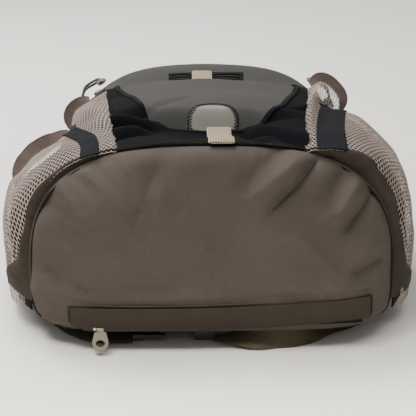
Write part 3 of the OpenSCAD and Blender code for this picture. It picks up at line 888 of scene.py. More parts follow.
def front_tab():
    t = np.linspace(SEAM_Y + 1, HEM_Y + 1.5, 60)
    s = np.full(t.shape, NEAR_TAB_X)
    lift = stretch_off(s, t) + 2.4 + 0.5 * np.sin((t - SEAM_Y) / 9) + 1.2 * step(t, HEM_Y - 10, HEM_Y)
    over = MAIN.at(s, t, lift)
    last = float(lift[-1])
    under = [MAIN.at(NEAR_TAB_X, HEM_Y + 3.4, last - 2.2), MAIN.at(NEAR_TAB_X, HEM_Y - 3, last - 4.4)]
    path = smooth_path(np.concatenate([over, under]), 90)
    obj = ribbon_mesh("near_tab", path, middle_up(path), TAB_W, 1.7, 13)
    place(obj, "pack_body", "cream_webbing", CREAM, "front_tab")


def disc_place(across, up):
    """Places on the front panel's steep hollow for points of the disc, measured along the cloth."""
    t = np.linspace(-190, -60, 400)
    s = np.full(t.shape, DISC_X)
    profile = MAIN.at(s, t, front_dip(s, t))
    run = run_along(profile)
    run -= np.interp(-112.0, t, run) - DISC_R
    return DISC_X + across, np.interp(up, run, t)


def reflective_disc():
    """A pale disc half hidden by the pocket's hem, with a dark zigzag sewn round it."""
    rho = np.linspace(0.001, 1, 24)
    a = np.linspace(0, 2 * math.pi, 96, endpoint=False)
    s, t = disc_place(rho[:, None] * DISC_R * np.cos(a), rho[:, None] * DISC_R * np.sin(a))
    p = MAIN.at(s, t, front_dip(s, t) + 0.7 + 0.4 * (1 - rho[:, None] ** 6))
    obj = sheet_mesh("disc_face", p, (s, t), turn=True, wrap_u=True)
    place(obj, "pack_body", "reflective", REFLECTIVE, "reflective_disc")
    count = 84
    turns = np.linspace(0, 2 * math.pi, count, endpoint=False)
    zig = DISC_R - 0.8 + np.where(np.arange(count) % 2, 1.9, -1.3)
    s, t = disc_place(zig * np.cos(turns), zig * np.sin(turns))
    ring = tube_mesh("disc_zigzag", MAIN.at(s, t, front_dip(s, t) + 1.1), 0.6, 6, closed=True)
    place(ring, "pack_body", "reflective", BLACK_PLAIN)


# ---------------------------------------------------------------- sides
def pocket_backing(side):
    """The slack side cloth that fills the bottom of the bottle pocket behind its mesh."""
    pocket = POCKET[side]
    t = np.linspace(SEAM_Y + 4, -38, 70)
    low, high = pocket.ends(t)
    s = between(low + 2, high, np.linspace(0, 1, 90))[:, :: side]
    t = t[:, None]
    return sheet_mesh("backing", pocket.at(s, t, -6.0 - 13.0 * step(t, -84, -38)), (s, t), turn=True)


def zip_height(y):
    """The height of the main zip's middle line at a place along the pack."""
    return ZIP_Z - math.tan(ZIP_SLANT) * (y - HINGE_Y)


def side_wall(side):
    """A side panel under the pockets, and beside the lid below the zip."""
    name = SIDES[side]

    def slack(s, u):
        return -0.2 + 0.9 * soft_noise(s / 40 + 3, u / 50)

    t1 = np.linspace(SEAM_Y + 1, HINGE_Y - 0.3, 90)
    t2 = np.linspace(HINGE_Y - 0.3, END_Y, 50)
    parts = []
    for t, low in (t1, MAIN.s_of_x(FRONT_X + 0.3, t1)), (t2, MAIN.s_of_z(zip_height(t2) - ZIP_GAP, t2)):
        high = MAIN.s_of_z(LOW_Z, t)
        ends = (low, high) if side > 0 else (-high, -low)
        parts.append(skin_patch("wall", *ends, t, slack, 50))
    parts.append(pocket_backing(side))
    obj = join(f"side_cloth_{name}", parts)
    add_thickness(obj, CLOTH)
    # The side cloth and the backing behind the mesh take the dark wall cloth: partly its own colour, partly
    # painted shade.
    place(obj, "pack_body", "grey_shell", DARK_WALL, f"side_panel_{name}")


STATIONS = (SEAM_Y, -190, -100, -40, 15, 48)
# The bottle pockets' cross-sections at those stations: (x, z) from the band's inner side outwards and down
SECTIONS = {
    1: (((77, 152), (82, 152), (92, 152), (103, 150), (117, 144),
         (129, 127), (140, 95), (148, 60), (150, 17)),
        ((79, 153), (84, 153), (94, 152), (105, 151), (122, 146),
         (141, 131), (156, 104), (165, 68), (163, 17)),
        ((88, 156), (95, 150), (106, 148), (117, 147), (130, 144),
         (147, 130), (163, 111), (172, 80), (170, 17)),
        ((99, 152), (107, 138), (117, 133), (128, 131), (138, 123),
         (150, 109), (162, 91), (169, 66), (167, 17)),
        ((110, 146), (126, 134), (129, 118), (134, 107), (142, 94),
         (152, 84), (161, 73), (166, 56), (163, 17)),
        ((111, 143), (126, 131), (129, 115), (134, 103), (142, 90),
         (151, 80), (159, 70), (163, 54), (160, 17))),
    -1: (((75, 151), (84, 149), (92, 147), (99, 145), (113, 138),
          (127, 122), (138, 100), (145, 70), (147, 17)),
         ((77, 152), (87, 150), (95, 147), (103, 144), (118, 138),
          (138, 124), (155, 103), (166, 72), (165, 17)),
         ((98, 147), (111, 134), (118, 130), (125, 127), (134, 121),
          (149, 109), (166, 94), (178, 74), (176, 17)),
         ((110, 138), (124, 122), (129, 110), (134, 105), (143, 100),
          (155, 93), (168, 83), (176, 66), (173, 17)),
         ((111, 129), (126, 120), (130, 106), (132, 99), (141, 93),
          (153, 86), (164, 77), (170, 62), (167, 17)),
         ((111, 127), (126, 117), (130, 103), (132, 92), (141, 82),
          (151, 74), (160, 66), (165, 53), (162, 17))),
}
# Each mouth's two lobes: where they start and end round the pocket, how wide, and how far they lean out
LOBES = {1: ((6.0, 2.0, 8.5, 84), (5.0, -36.0, 7.0, 25)),
         -1: ((19.0, 3.0, 9.0, 84), (6.0, -34.0, 12.0, 64))}
# The point of each section that lies under the band's middle, counted from the pocket's inner edge
BAND_PLACE = 3


class Pocket:
    """A bottle pocket's surface, lofted through its sections. A place on it is (s, t): the distance round
    from the band's middle, and the station."""

    def __init__(self, side):
        self.side = side
        self.t = np.linspace(STATIONS[0], STATIONS[-1], 90)
        x0 = pocket_edge(self.t) - 1.0
        z0 = MAIN.at(MAIN.s_of_x(x0, self.t), self.t)[:, 2] + 0.6
        tracks = [[Track([(y, row[k][i]) for y, row in zip(STATIONS, SECTIONS[side])]) for i in (0, 1)]
                  for k in range(9)]
        self.s = np.arange(-60.0, 220.0, 1.0)
        self.x, self.z = np.zeros((2, len(self.t), len(self.s)))
        self.low, self.high = np.zeros((2, len(self.t)))
        for i, t in enumerate(self.t):
            points = [(x0[i], z0[i])] + [(float(a(t)), float(b(t))) for a, b in tracks]
            curve = rounded_curve(points)
            d = np.concatenate([[0], np.cumsum(np.hypot(*np.diff(curve, axis=0).T))])
            middle = np.array(points[BAND_PLACE])
            run = d - d[np.argmin(np.hypot(*(curve - middle).T))]
            self.x[i], self.z[i] = np.interp(self.s, run, curve[:, 0]), np.interp(self.s, run, curve[:, 1])
            self.low[i], self.high[i] = run[0], run[-1]

    def at(self, s, t, lift=0.0):
        s, t = np.broadcast_arrays(np.asarray(s, float), np.asarray(t, float))
        p = self.point(s, t)
        across = self.point(s + 1, t) - self.point(s - 1, t)
        along = self.point(s, t + 2) - self.point(s, t - 2)
        normal = unit(np.cross(along, across))
        waves = 1.2 * soft_noise(s / 24 + 4 * self.side, t / 30) + 0.5 * fold_noise(s / 10, t / 26)
        p = p - normal * (waves + lift)[..., None]
        p[..., 0] *= self.side
        return p

    def point(self, s, t):
        u = np.clip((t - self.t[0]) / (self.t[-1] - self.t[0]) * (len(self.t) - 1), 0, len(self.t) - 1.001)
        v = np.clip((s - self.s[0]), 0, len(self.s) - 1.001)
        i, j = u.astype(int), v.astype(int)
        f, g = u - i, v - j
        out = [t]
        for k, grid in ((0, self.x), (2, self.z)):
            value = (grid[i, j] * (1 - f) + grid[i + 1, j] * f) * (1 - g)
            value = value + (grid[i, j + 1] * (1 - f) + grid[i + 1, j + 1] * f) * g
            out.insert(k, value)
        return np.stack(out, -1)

    def ends(self, t):
        return np.interp(t, self.t, self.low), np.interp(t, self.t, self.high)

    def mouth(self, s):
        """The station of the mouth's edge, which slants back as it goes down."""
        t = np.zeros(np.shape(s))
        for _ in range(30):
            t = 0.6 * t + 0.4 * (MOUTH_Y - 4 - (MOUTH_Z - self.point(s, t)[..., 2]) * MOUTH_SLOPE)
        return t


def rounded_curve(points):
    """A smooth curve through (x, z) points."""
    p = np.array(points, float)
    p = np.concatenate([p[:1] * 2 - p[1:2], p, p[-1:] * 2 - p[-2:-1]])
    f = np.linspace(0, 1, 24)[:, None]
    out = []
    for a, b, c, d in zip(p, p[1:], p[2:], p[3:]):
        out.append(b + 0.5 * f * (c - a + f * (2 * a - 5 * b + 4 * c - d + f * (3 * (b - c) + d - a))))
    return np.concatenate(out)


# Both bottle pockets by side, made in build()
POCKET = {}


def pocket_mesh(side):
    """Stretch mesh: a lattice of yarns with open cells between them, drawn out along the pocket."""
    name = SIDES[side]
    pocket = POCKET[side]
    pitch, drawn = 3.7, 1.4
    corner = np.arange(6) * math.pi / 3 + math.pi / 6
    ring = pitch / math.sqrt(3) * np.stack([np.cos(corner), drawn * np.sin(corner)], 1)
    rows = []
    for k, t in enumerate(np.arange(SEAM_Y + 5, 40, drawn * pitch * math.sqrt(3) / 2)):
        low, high = pocket.ends(t)
        s = np.arange(-20 * pitch, 200, pitch) + (0.5 * pitch if k % 2 else 0)
        s = s[(s > low) & (s < high - 1)]
        rows.append(np.stack([s, np.full(s.shape, t)], 1))
    c = np.concatenate(rows)
    c = c[c[:, 1] < pocket.mouth(c[:, 0]) + 2]
    open_part = 0.76 + 0.03 * soft_noise(c[:, 0] / 25, c[:, 1] / 25)
    hole = ring[None] * open_part[:, None, None]
    st = np.concatenate([c[:, None] + ring[None], c[:, None] + hole], axis=1).reshape(-1, 2)
    p = pocket.at(st[:, 0], st[:, 1])
    k = np.arange(6)
    quad = np.stack([k, (k + 1) % 6, 6 + (k + 1) % 6, 6 + k], 1)
    if side < 0:
        quad = quad[:, ::-1]
    faces = (np.arange(len(c))[:, None, None] * 12 + quad[None]).reshape(-1, 4)
    obj = new_object(f"mesh_yarn_{name}", p, faces.tolist())
    weld = obj.modifiers.new("weld", "WELD")
    weld.merge_threshold = 0.0003
    add_thickness(obj, 0.35)
    place(obj, "pack_body", "pocket_mesh", YARN, f"pocket_mesh_{name}")


def mouth_lobe(side, s0, s1, width, reach):
    """One lobe of a pocket mouth: ribbed elastic that flares out from the mesh's edge."""
    pocket = POCKET[side]
    s = np.arange(s0, s1, 0.8)
    edge = smooth_path(pocket.at(s, pocket.mouth(s) - 1.0), len(s))
    along = unit(np.gradient(edge, axis=0))
    centre = edge.mean(axis=0) - np.array([8.0 * side, 0, 6.0])
    outward = edge - centre
    outward -= along * np.sum(outward * along, axis=1, keepdims=True)
    outward[:, 1] *= 0.2
    outward = unit(outward)
    ahead = np.tile([0.0, 1.0, 0.0], (len(s), 1))
    f = (s - s0) / (s1 - s0)
    swell = np.sin(math.pi * np.clip(f, 0.015, 0.985)) ** 0.35
    v = np.linspace(0, 1, 26)
    lean = np.radians(reach) * np.minimum(1, v * 4) ** 0.8 * swell[:, None]
    span = width * (0.55 + 0.45 * swell) / (len(v) - 1)
    go = np.cos(lean)[..., None] * ahead[:, None] + np.sin(lean)[..., None] * outward[:, None]
    go = go * span[:, None, None]
    p = edge[:, None] + np.concatenate([np.zeros((len(s), 1, 3)), np.cumsum(go[:, 1:], axis=1)], axis=1)
    ribs = 0.35 * np.cos(2 * math.pi * s / 2.4)[:, None] * np.sin(math.pi * v)
    gather = (1.0 * fold_noise(s / 9, 1.0)[:, None] + 0.4 * fold_noise(s / 4, 3.0)[:, None]) * v ** 1.3
    aside = np.sin(lean)[..., None] * ahead[:, None] - np.cos(lean)[..., None] * outward[:, None]
    p = p + (ribs + gather)[..., None] * aside
    cloth = sheet_mesh("lobe", p[:: side], (s[:: side, None], v * width))
    add_thickness(cloth, 1.6, 0.0)
    rim = tube_mesh("rim", p[:, -1], 1.1, 8)
    seam = tube_mesh("seam", p[:, 2] + 0.3 * outward, 0.6, 6)
    return [cloth, rim, seam]


def pocket_binding(side):
    """The mouth's ribbed elastic, in two lobes with the band's pinch between them."""
    name = SIDES[side]
    pocket = POCKET[side]
    low, high = (float(v) for v in pocket.ends(10.0))
    inner, outer = LOBES[side]
    parts = mouth_lobe(side, low + inner[0], *inner[1:])
    parts += mouth_lobe(side, outer[0], high + outer[1], *outer[2:])
    obj = join(f"mouth_elastic_{name}", parts)
    place(obj, "pack_body", "knit_binding", KNIT, f"pocket_binding_{name}")


def pocket_band(side):
    """The plain black band over the crest of the bottle pocket."""
    name = SIDES[side]
    pocket = POCKET[side]
    t = np.linspace(SEAM_Y + 2, -34 if side > 0 else -88, 110)
    half = 11.5 if side > 0 else 7.5
    s, t = half * np.linspace(-1, 1, 22)[:: side], t[:, None]
    obj = sheet_mesh(f"crest_band_{name}", pocket.at(s, t, 1.4), (s, t), 1.0, turn=True)
    place(obj, "pack_body", "black_webbing", BLACK_PLAIN, f"pocket_band_{name}")


# ---------------------------------------------------------------- lid
# How far the top end bulges
END_DOME = 7.0


def end_dome(x, z):
    """How far the soft top end stands out past the last station."""
    h = END_H * FRONT_Z - BACK_Z
    q = z - BACK_Z - MID_FRAC * h
    reach = h * np.where(q > 0, 1 - MID_FRAC, MID_FRAC)
    r = np.clip((np.abs(x / (END_W * HALF_W)) ** 3 + np.abs(q / reach) ** 3) ** (1 / 3), 0, 1)
    return END_DOME * (1 - r ** 3) ** 0.6


def end_point(x, z, off=0.0):
    x, z = np.broadcast_arrays(x, z)
    return np.stack([x, HALF_L + end_dome(x, z) + off, z], -1)


def lid_soft(s, t):
    """The lid's relief: it rises from the valley at its fold to a full crest, and is slack beyond."""
    middle = np.exp(-(np.abs(s) / VALLEY_HALF) ** 6)
    valley = -VALLEY * (1 - step(t, HINGE_Y - 4, HINGE_Y + 42)) * middle
    crest = 2.0 * bump_at(t, 118, 42) * middle
    return valley + crest + 0.9 * soft_noise(s / 40 + 7, t / 34) * step(t, HINGE_Y, HINGE_Y + 30)


def lid_panel():
    t = np.linspace(HINGE_Y + 0.4, HALF_L, 110)
    edge = MAIN.s_of_z(zip_height(t) + ZIP_GAP, t)
    s = np.linspace(-1, 1, 121)[:, None] * edge
    p = MAIN.at(s, t, lid_soft(s, t) - 0.2)
    fall = np.linspace(0, 1, 16)[1:]
    z = p[:, -1:, 2] * (1 - fall) + (zip_height(HALF_L) + ZIP_GAP) * fall
    tail = end_point(p[:, -1:, 0] * np.ones_like(fall), z, -0.2)
    p = np.concatenate([p, tail], axis=1)
    run = HALF_L + np.arange(1, tail.shape[1] + 1) * 1.2
    around = np.concatenate([s, np.repeat(s[:, -1:], tail.shape[1], 1)], 1)
    obj = sheet_mesh("lid_cloth", p, (around, np.concatenate([t, run])), CLOTH)
    place(obj, "lid", "grey_shell", GREY, "lid_panel")


def under_lid(s, t):
    """The lid's relief, held at its fold's value on the front panel's side, and a little lower."""
    return lid_soft(s, np.maximum(t, HINGE_Y)) - 1.6


def lid_fold():
    """A strip of shell cloth that bridges the fold."""
    t = np.linspace(HINGE_Y - 5, HINGE_Y + 6, 30)
    edge = MAIN.s_of_x(FRONT_X - 3, t)
    obj = skin_patch("fold_strip", -edge, edge, t, under_lid, 90, 0.8)
    paint(obj, GREY)
    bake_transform(obj)


def zip_line(shift, lift, first, count=150):
    """The zip's path from one fold round the top end to the other, moved across the zip by shift."""
    t = np.linspace(first, HALF_L, count)
    s = MAIN.s_of_z(zip_height(t) + shift, t)
    right = MAIN.at(s, t, lift)
    x = np.linspace(right[-1, 0], -right[-1, 0], 70)[1:-1]
    across = end_point(x, zip_height(HALF_L) + shift, lift)
    flip = np.array([-1.0, 1, 1])
    path = np.concatenate([right, across, right[::-1] * flip])
    n_right = MAIN.normal(s, t)
    normal = np.concatenate([n_right, np.tile([0.0, 1.0, 0.0], (len(x), 1)), n_right[::-1] * flip])
    return averaged(path, 4), averaged(normal, 4)


def coil(name, centre, up, across, rise):
    """A row of coil teeth along a path."""
    side = unit(np.cross(np.gradient(centre, axis=0), up))
    turn = np.arange(len(centre)) * math.pi / 2
    path = centre + side * (across * np.cos(turn))[:, None] + up * (rise * np.sin(turn))[:, None]
    return tube_mesh(name, path, 0.34, 4)


def zip_half(name, sign, first, body, node):
    """One half of the main zip: its tape and its row of coil teeth."""
    path, normal = zip_line(sign * 4.2, 0.3, first)
    place(ribbon_mesh(name + "_tape", path, normal, TAPE_W, 1.0, 7), body, "zip_tape", ZIP_TAPE, node)
    path, normal = zip_line(sign * 1.5, 1.1, first)
    both = resampled(np.concatenate([path, normal], 1), 900)
    place(coil(name + "_coil", both[:, :3], both[:, 3:], 1.3, 0.7), body, "zip_tape", PLASTIC)


def lid_piping():
    path, _ = zip_line(TAPE_W + 3.6, 1.3, HINGE_Y + 3)
    place(tube_mesh("piping", path, 1.7, 10), "lid", "olive_webbing", OLIVE_PLAIN, "lid_piping")


def lid_ladder():
    """A dark patch sewn on the lid, with short bars across it."""
    t = np.linspace(60, 80, 30)
    edge = MAIN.s_of_x(38.0, t)
    obj = skin_patch("ladder_patch", -edge, edge, t, lambda s, u: lid_soft(s, u) + 0.9, 60, 1.0)
    place(obj, "lid", "black_webbing", BLACK_PLAIN, "lid_slot_patch")
    bars = []
    for y in (63.5, 69.0, 74.5):
        for x0, x1 in ((-36, -15), (8, 34)):
            s = MAIN.s_of_x(np.linspace(x0, x1, 16), y)
            arch = 1.2 * np.sin(np.linspace(0, math.pi, 16)) ** 0.5
            path = MAIN.at(s, y, lid_soft(s, y) + 1.7 + arch)
            bars.append(ribbon_mesh("bar", path, MAIN.normal(s, y), 3.2, 1.1, 7))
    place(join("ladder_bars", bars), "lid", "black_webbing", BLACK_WEB)


def lid_tab():
    t = np.linspace(58.5, 77, 50)
    s = np.full(t.shape, FAR_TAB_X)
    path = MAIN.at(s, t, lid_soft(s, t) + 3.4 + 1.0 * np.sin(math.pi * (t - 58.5) / 18.5))
    obj = ribbon_mesh("far_tab", path, MAIN.normal(s, t), TAB_W, 1.7, 13)
    place(obj, "lid", "cream_webbing", CREAM, "lid_tab")


def top_panel():
    """The end of the pack below the zip: two side pieces and the rounded end."""
    t = np.linspace(END_Y, HALF_L, 30)
    low, high = MAIN.s_of_z(zip_height(t) - ZIP_GAP, t), MAIN.s_of_z(LOW_Z, t)
    parts = [skin_patch("end_side", a, b, t, -0.2, 40) for a, b in ((low, high), (-high, -low))]
    z = np.linspace(zip_height(HALF_L) - ZIP_GAP, LOW_Z, 40)
    x = np.linspace(-1, 1, 90)[:, None] * MAIN.at(MAIN.s_of_z(z, HALF_L), HALF_L)[:, 0]
    parts.append(sheet_mesh("end_face", end_point(x, z, -0.2), (x, z)))
    obj = join("end_cloth", parts)
    add_thickness(obj, CLOTH)
    place(obj, "pack_body", "grey_shell", GREY, "top_panel")


def zip_grips():
    """A dark cord loop on each main zip pull, with its moulded grip lying on the lid's corner."""
    spread = np.array([0.0, 3.2, 0.8])
    for side, name in SIDES.items():
        start = np.array([side * 126.3, 70.0, 114.0])
        crown = np.array([side * 109.0, 60.0, 137.0])
        over = np.array([side * 103.0, 44.0, 141.5])
        middle = 0.5 * (start + crown) + (side * 4, 0, 2)
        for k in (-1, 1):
            path = smooth_path([start, middle + spread * k, crown + spread * k, over], 60)
            place(tube_mesh(f"pull_cord_{name}", path, 1.3, 8), f"zip_pull_{name}", "pull_rubber", RUBBER)
        tip = over + np.array([side * -1.0, -17.0, 1.5])
        f = np.linspace(0, 1, 24)
        path = over * (1 - f[:, None]) + tip * f[:, None]
        width = 3.0 + 7.5 * np.sin(math.pi * np.clip(f, 0.03, 0.97)) ** 0.7
        grip = ribbon_mesh(f"pull_grip_{name}", path, (side * 0.5, 0.0, 0.86), width, 3.4, 11)
        place(grip, f"zip_pull_{name}", "pull_rubber", GRIP)


# ---------------------------------------------------------------- base zip
# How far down the base zip's middle line lies
ZIP_DOWN = 129.5


def flap_edges(x):
    """How far down the storm flap's sewn and free edges lie; the flap climbs towards the right."""
    rise = np.clip((x + 20) / 141, 0, 1) ** 1.3
    return 119.5 - 6.5 * rise, 139.5 - 9.5 * rise - 5.0 * bump_at(x, -108, 7)


def storm_flap():
    """A strip of the base cloth that hangs over the zip from its sewn upper edge."""
    x = np.linspace(-108, 121, 230)
    v = np.linspace(0.06, 1, 24)
    upper, lower = flap_edges(x)
    down = between(upper, lower, v)
    xx = x[:, None]
    wave = (0.8 * fold_noise(xx / 26, 0.5) + 0.25 * fold_noise(xx / 9, 2.5)) * v
    lift = 0.8 + 2.2 * np.sin(0.5 * math.pi * v) ** 0.8 + 0.8 * v + wave
    p = base_point(xx, base_out(xx, np.minimum(down, 137)) + lift, down)
    obj = sheet_mesh("flap_cloth", p, (xx, -down), 1.3)
    # The flap takes the darker copy of the taupe nylon: painted shade.
    place(obj, "flap", "taupe_nylon", TAUPE_SHADED, "storm_flap")
    normal = np.tile(BASE_NORMAL, (len(x), 1))
    seam = base_point(x, base_out(x, upper) + 1.2, upper - 0.8)
    place(tube_mesh("flap_seam", seam, 0.45, 6), "pack_body", "taupe_nylon", TAUPE)
    top = base_point(x, base_out(x, upper) + 1.3, upper - 4.2)
    place(stitches("flap_topstitch", top, normal, 3.2, 2.2, 0.3, 0.4), "pack_body", "taupe_nylon", THREAD)
    hem = p[:, 19] + 0.4 * BASE_NORMAL
    place(stitches("flap_hem_stitch", hem, normal, 3.2, 2.3, 0.24, 0.2), "flap", "taupe_nylon", THREAD)


BASE_NORMAL = base_point(0, 1, 0) - base_point(0, 0, 0)


def bar_tacks():
    """Dense stitching at both ends of the flap."""
    parts = []
    for x0, tilt in ((-109.5, 3.0), (122.5, -2.0)):
        upper, lower = flap_edges(np.array(x0))
        for k in range(7):
            f = np.linspace(0, 1, 14)
            xx = x0 + 1.4 * np.where(np.arange(14) % 2, 1, -1) + tilt * f
            down = float(upper) + (float(lower) - float(upper)) * (k + f) / 7
            parts.append(tube_mesh("tack", base_lift(xx, down, 1.4), 0.4, 5))
    place(join("flap_bar_tacks", parts), "pack_body", "taupe_nylon", THREAD)


def base_zip():
    x = np.linspace(-104, 116, 160)
    normal = np.tile(BASE_NORMAL, (len(x), 1))
    path = base_lift(x, ZIP_DOWN, 0.7)
    tape = ribbon_mesh("base_tape", path, normal, 11.0, 1.0, 7)
    place(tape, "pack_body", "zip_tape", ZIP_TAPE, "base_zip_tape")
    xx = np.linspace(-102, 114, 1000)
    centre = base_lift(xx, ZIP_DOWN, 1.5)
    up = np.tile(BASE_NORMAL, (len(xx), 1))
    place(coil("base_coil", centre, up, 2.0, 0.7), "pack_body", "zip_tape", PLASTIC)


# ---------------------------------------------------------------- back system
def slab(name, outline, z0, z1, rings=10):
    """A soft slab from a plan outline, with rounded edges."""
    n = 3.0
    centre = outline.mean(axis=0)
    rho = np.linspace(0, 1, rings + 1)[1:] ** 0.8
    mid, half = 0.5 * (z0 + z1), 0.5 * (z1 - z0)
    layers = []
    for sign, order in ((1, rho), (-1, rho[::-1][1:])):
        for r in order:
            z = mid + sign * half * (1 - r ** (2 * n)) ** (1 / n)
            xy = centre + (outline - centre) * r
            layers.append(np.column_stack([xy, np.full(len(xy), z)]))
    p = np.array(layers)
    top = np.array([[*centre, z1]])
    low = np.array([[*centre, z0]])
    n_ring, n_pt = p.shape[:2]
    verts = np.concatenate([p.reshape(-1, 3), top, low])
    faces = grid_faces(n_ring, n_pt, False, True).tolist()
    k = np.arange(n_pt)
    faces += np.stack([np.full(n_pt, n_ring * n_pt), k, (k + 1) % n_pt], 1).tolist()
    last = (n_ring - 1) * n_pt
    faces += np.stack([np.full(n_pt, n_ring * n_pt + 1), last + (k + 1) % n_pt, last + k], 1).tolist()
    return new_object(name, verts, faces, verts[:, :2])


def rounded_box(x0, x1, y0, y1, radius):
    corners = [(x1 - radius, y0 + radius, -90), (x1 - radius, y1 - radius, 0),
               (x0 + radius, y1 - radius, 90), (x0 + radius, y0 + radius, 180)]
    out = []
    for cx, cy, start in corners:
        for a in np.radians(np.linspace(start, start + 90, 9)):
            out.append((cx + radius * math.cos(a), cy + radius * math.sin(a)))
    out.append(out[0])
    return resampled(np.array(out), 120)[:-1]


def pad_strip(name, path, widths, z0, z1):
    """A padded strap: a full, rounded section along a path."""
    path = smooth_path([(x, y, 0.5 * (z0 + z1)) for x, y in path], 120)
    d = np.linspace(0, 1, len(path))
    width = np.interp(d, np.linspace(0, 1, len(widths)), widths)
    width = width * np.clip(np.minimum(d, 1 - d) * 30, 0.35, 1) ** 0.5
    side, normal = frames_along(path, UP)
    a = np.linspace(0, 2 * math.pi, 33)[:-1]
    c, s = rounded_unit(np.cos(a), 4.0), rounded_unit(np.sin(a), 2.4)
    half = 0.5 * (z1 - z0)
    ring = path[:, None] + side[:, None] * (c[None, :, None] * width[:, None, None] / 2)
    ring = ring + normal[:, None] * (s[None, :, None] * half)
    n, m = ring.shape[:2]
    faces = grid_faces(n, m, False, True).tolist()
    faces += [list(range(m))[::-1], [(n - 1) * m + k for k in range(m)]]
    obj = new_object(name, ring.reshape(-1, 3), faces, ring.reshape(-1, 3)[:, :2])
    lines = []
    for sign in (-1, 1):
        edge = path + side * (sign * (width / 2 - 5))[:, None] - normal * (half * 0.93)
        lines.append(stitches("line", edge[6:-6], -normal[6:-6], 3.2, 2.2, 0.25, 0.2))
    return obj, lines


def back_system():
    pads = [(-32, 32, 84, 190, 14), (-68, 68, -112, 42, 18), (-88, 88, -200, -132, 20)]
    for i, (x0, x1, y0, y1, r) in enumerate(pads):
        obj = slab(f"foam_pad_{i}", rounded_box(x0, x1, y0, y1, r), 0.0, 12.0)
        place(obj, "pack_body", "back_mesh", BACK_MESH, *(["back_pads"] if i == 0 else []))
    t = np.linspace(SEAM_Y - 16, HALF_L - 2, 90)
    widths = [(SEAM_Y - 16, 116), (SEAM_Y, 122), (-120, 126), (0, 124),
              (60, 120), (130, 112), (200, 98), (HALF_L, 82)]
    half = np.interp(t, *zip(*widths))
    f = np.linspace(-1, 1, 60)
    x, y = half[:, None] * f, t[:, None]
    z = 13.0 + 2.2 * np.abs(f) ** 8 + 0.3 * soft_noise(x / 20, y / 20)
    obj = sheet_mesh("back_cloth", np.stack(np.broadcast_arrays(x, y, z), -1), (x, y))
    add_thickness(obj, 2.6, 1.0)
    place(obj, "pack_body", "back_mesh", BACK_MESH, "back_panel")


# A shoulder strap's middle line, as (x, y) on the right
STRAP_PATH = [(60, 203), (66, 150), (84, 95), (98, 40), (106, -20), (114, -80)]


def straps():
    for side, name in SIDES.items():
        body = f"strap_{name}"
        path = [(side * x, y) for x, y in STRAP_PATH]
        obj, lines = pad_strip(f"strap_pad_{name}", path, [44, 50, 54, 54, 48, 34], 1.5, 10.5)
        place(obj, body, "back_mesh", BACK_MESH, f"shoulder_strap_{name}")
        place(join(f"strap_stitch_{name}", lines), body, "back_mesh", PALE_THREAD)
        web = smooth_path([(side * 115, -104, 5.2), (side * 112, -150, 4.6), (side * 108, -192, 5)], 60)
        obj = ribbon_mesh(f"lower_web_{name}", web, UP, 20.0, 1.8, 9)
        place(obj, f"lower_webbing_{name}", "olive_webbing", OLIVE, f"strap_webbing_{name}")
        web = smooth_path([(side * 57, 63, 5.4), (side * 45, 63, 5.0), (side * 34, 63, 6.0)], 30)
        obj = ribbon_mesh(f"chest_web_{name}", web, UP, 18.0, 1.7, 9)
        place(obj, f"sternum_{name}", "olive_webbing", OLIVE, f"sternum_strap_{name}")
    tabs = []
    for side in (-1, 1):
        tabs.append(slab("yoke", rounded_box(side * 60 - 16, side * 60 + 16, 206, 219, 3), 4, 12, rings=6))
        corners = np.array([(95, -216), (114, -216), (116, -196), (100, -196), (95, -216)]) * (side, 1.0)
        tabs.append(slab("corner", resampled(corners, 60)[:-1], 4, 12, rings=6))
    place(join("anchor_cloth", tabs), "pack_body", "black_webbing", BLACK_WEB, "strap_anchor_tabs")


def waist_belts():
    left = smooth_path([(-118, -206, 3), (-106, -221, 2.6), (-86, -233, 2.2), (-62, -234, 2.6)], 80)
    obj = ribbon_mesh("belt_web_left", left, UP, 24.0, 1.8, 11)
    place(obj, "belt_left", "olive_webbing", OLIVE, "waist_belt_left")
    right = smooth_path([(118, -206, 5), (104, -216, 4.5), (88, -224, 6), (74, -237, 9), (60, -246, 10),
                         (42, -247, 9), (22, -242, 7), (4, -235, 5)], 140)
    d = np.linspace(0, 1, len(right))[:, None]
    turned = bump_at(d, 0.56, 0.26)
    up = np.array([0.0, 0.0, 1.0]) * (1 - 0.62 * turned) + np.array([0.10, -0.85, 0.0]) * turned
    obj = ribbon_mesh("belt_web_right", right, up, 24.0, 1.8, 11)
    place(obj, "belt_right", "olive_webbing", LOOP_WEB, "waist_belt_right")


def haul_loop():
    half = [(33.5, 238), (34.5, 246), (33, 256), (27, 262.5), (14, 264), (0, 264.3)]
    pts = [(x, y, 26) for x, y in half] + [(-x, y, 26) for x, y in half[-2::-1]]
    path = smooth_path(pts, 120)
    up = path - np.array([0, 238.0, 26.0])
    obj = ribbon_mesh("haul_web", path, up, TAB_W, 2.4, 11)
    place(obj, "haul_handle", "black_webbing", BLACK_WEB, "haul_loop")


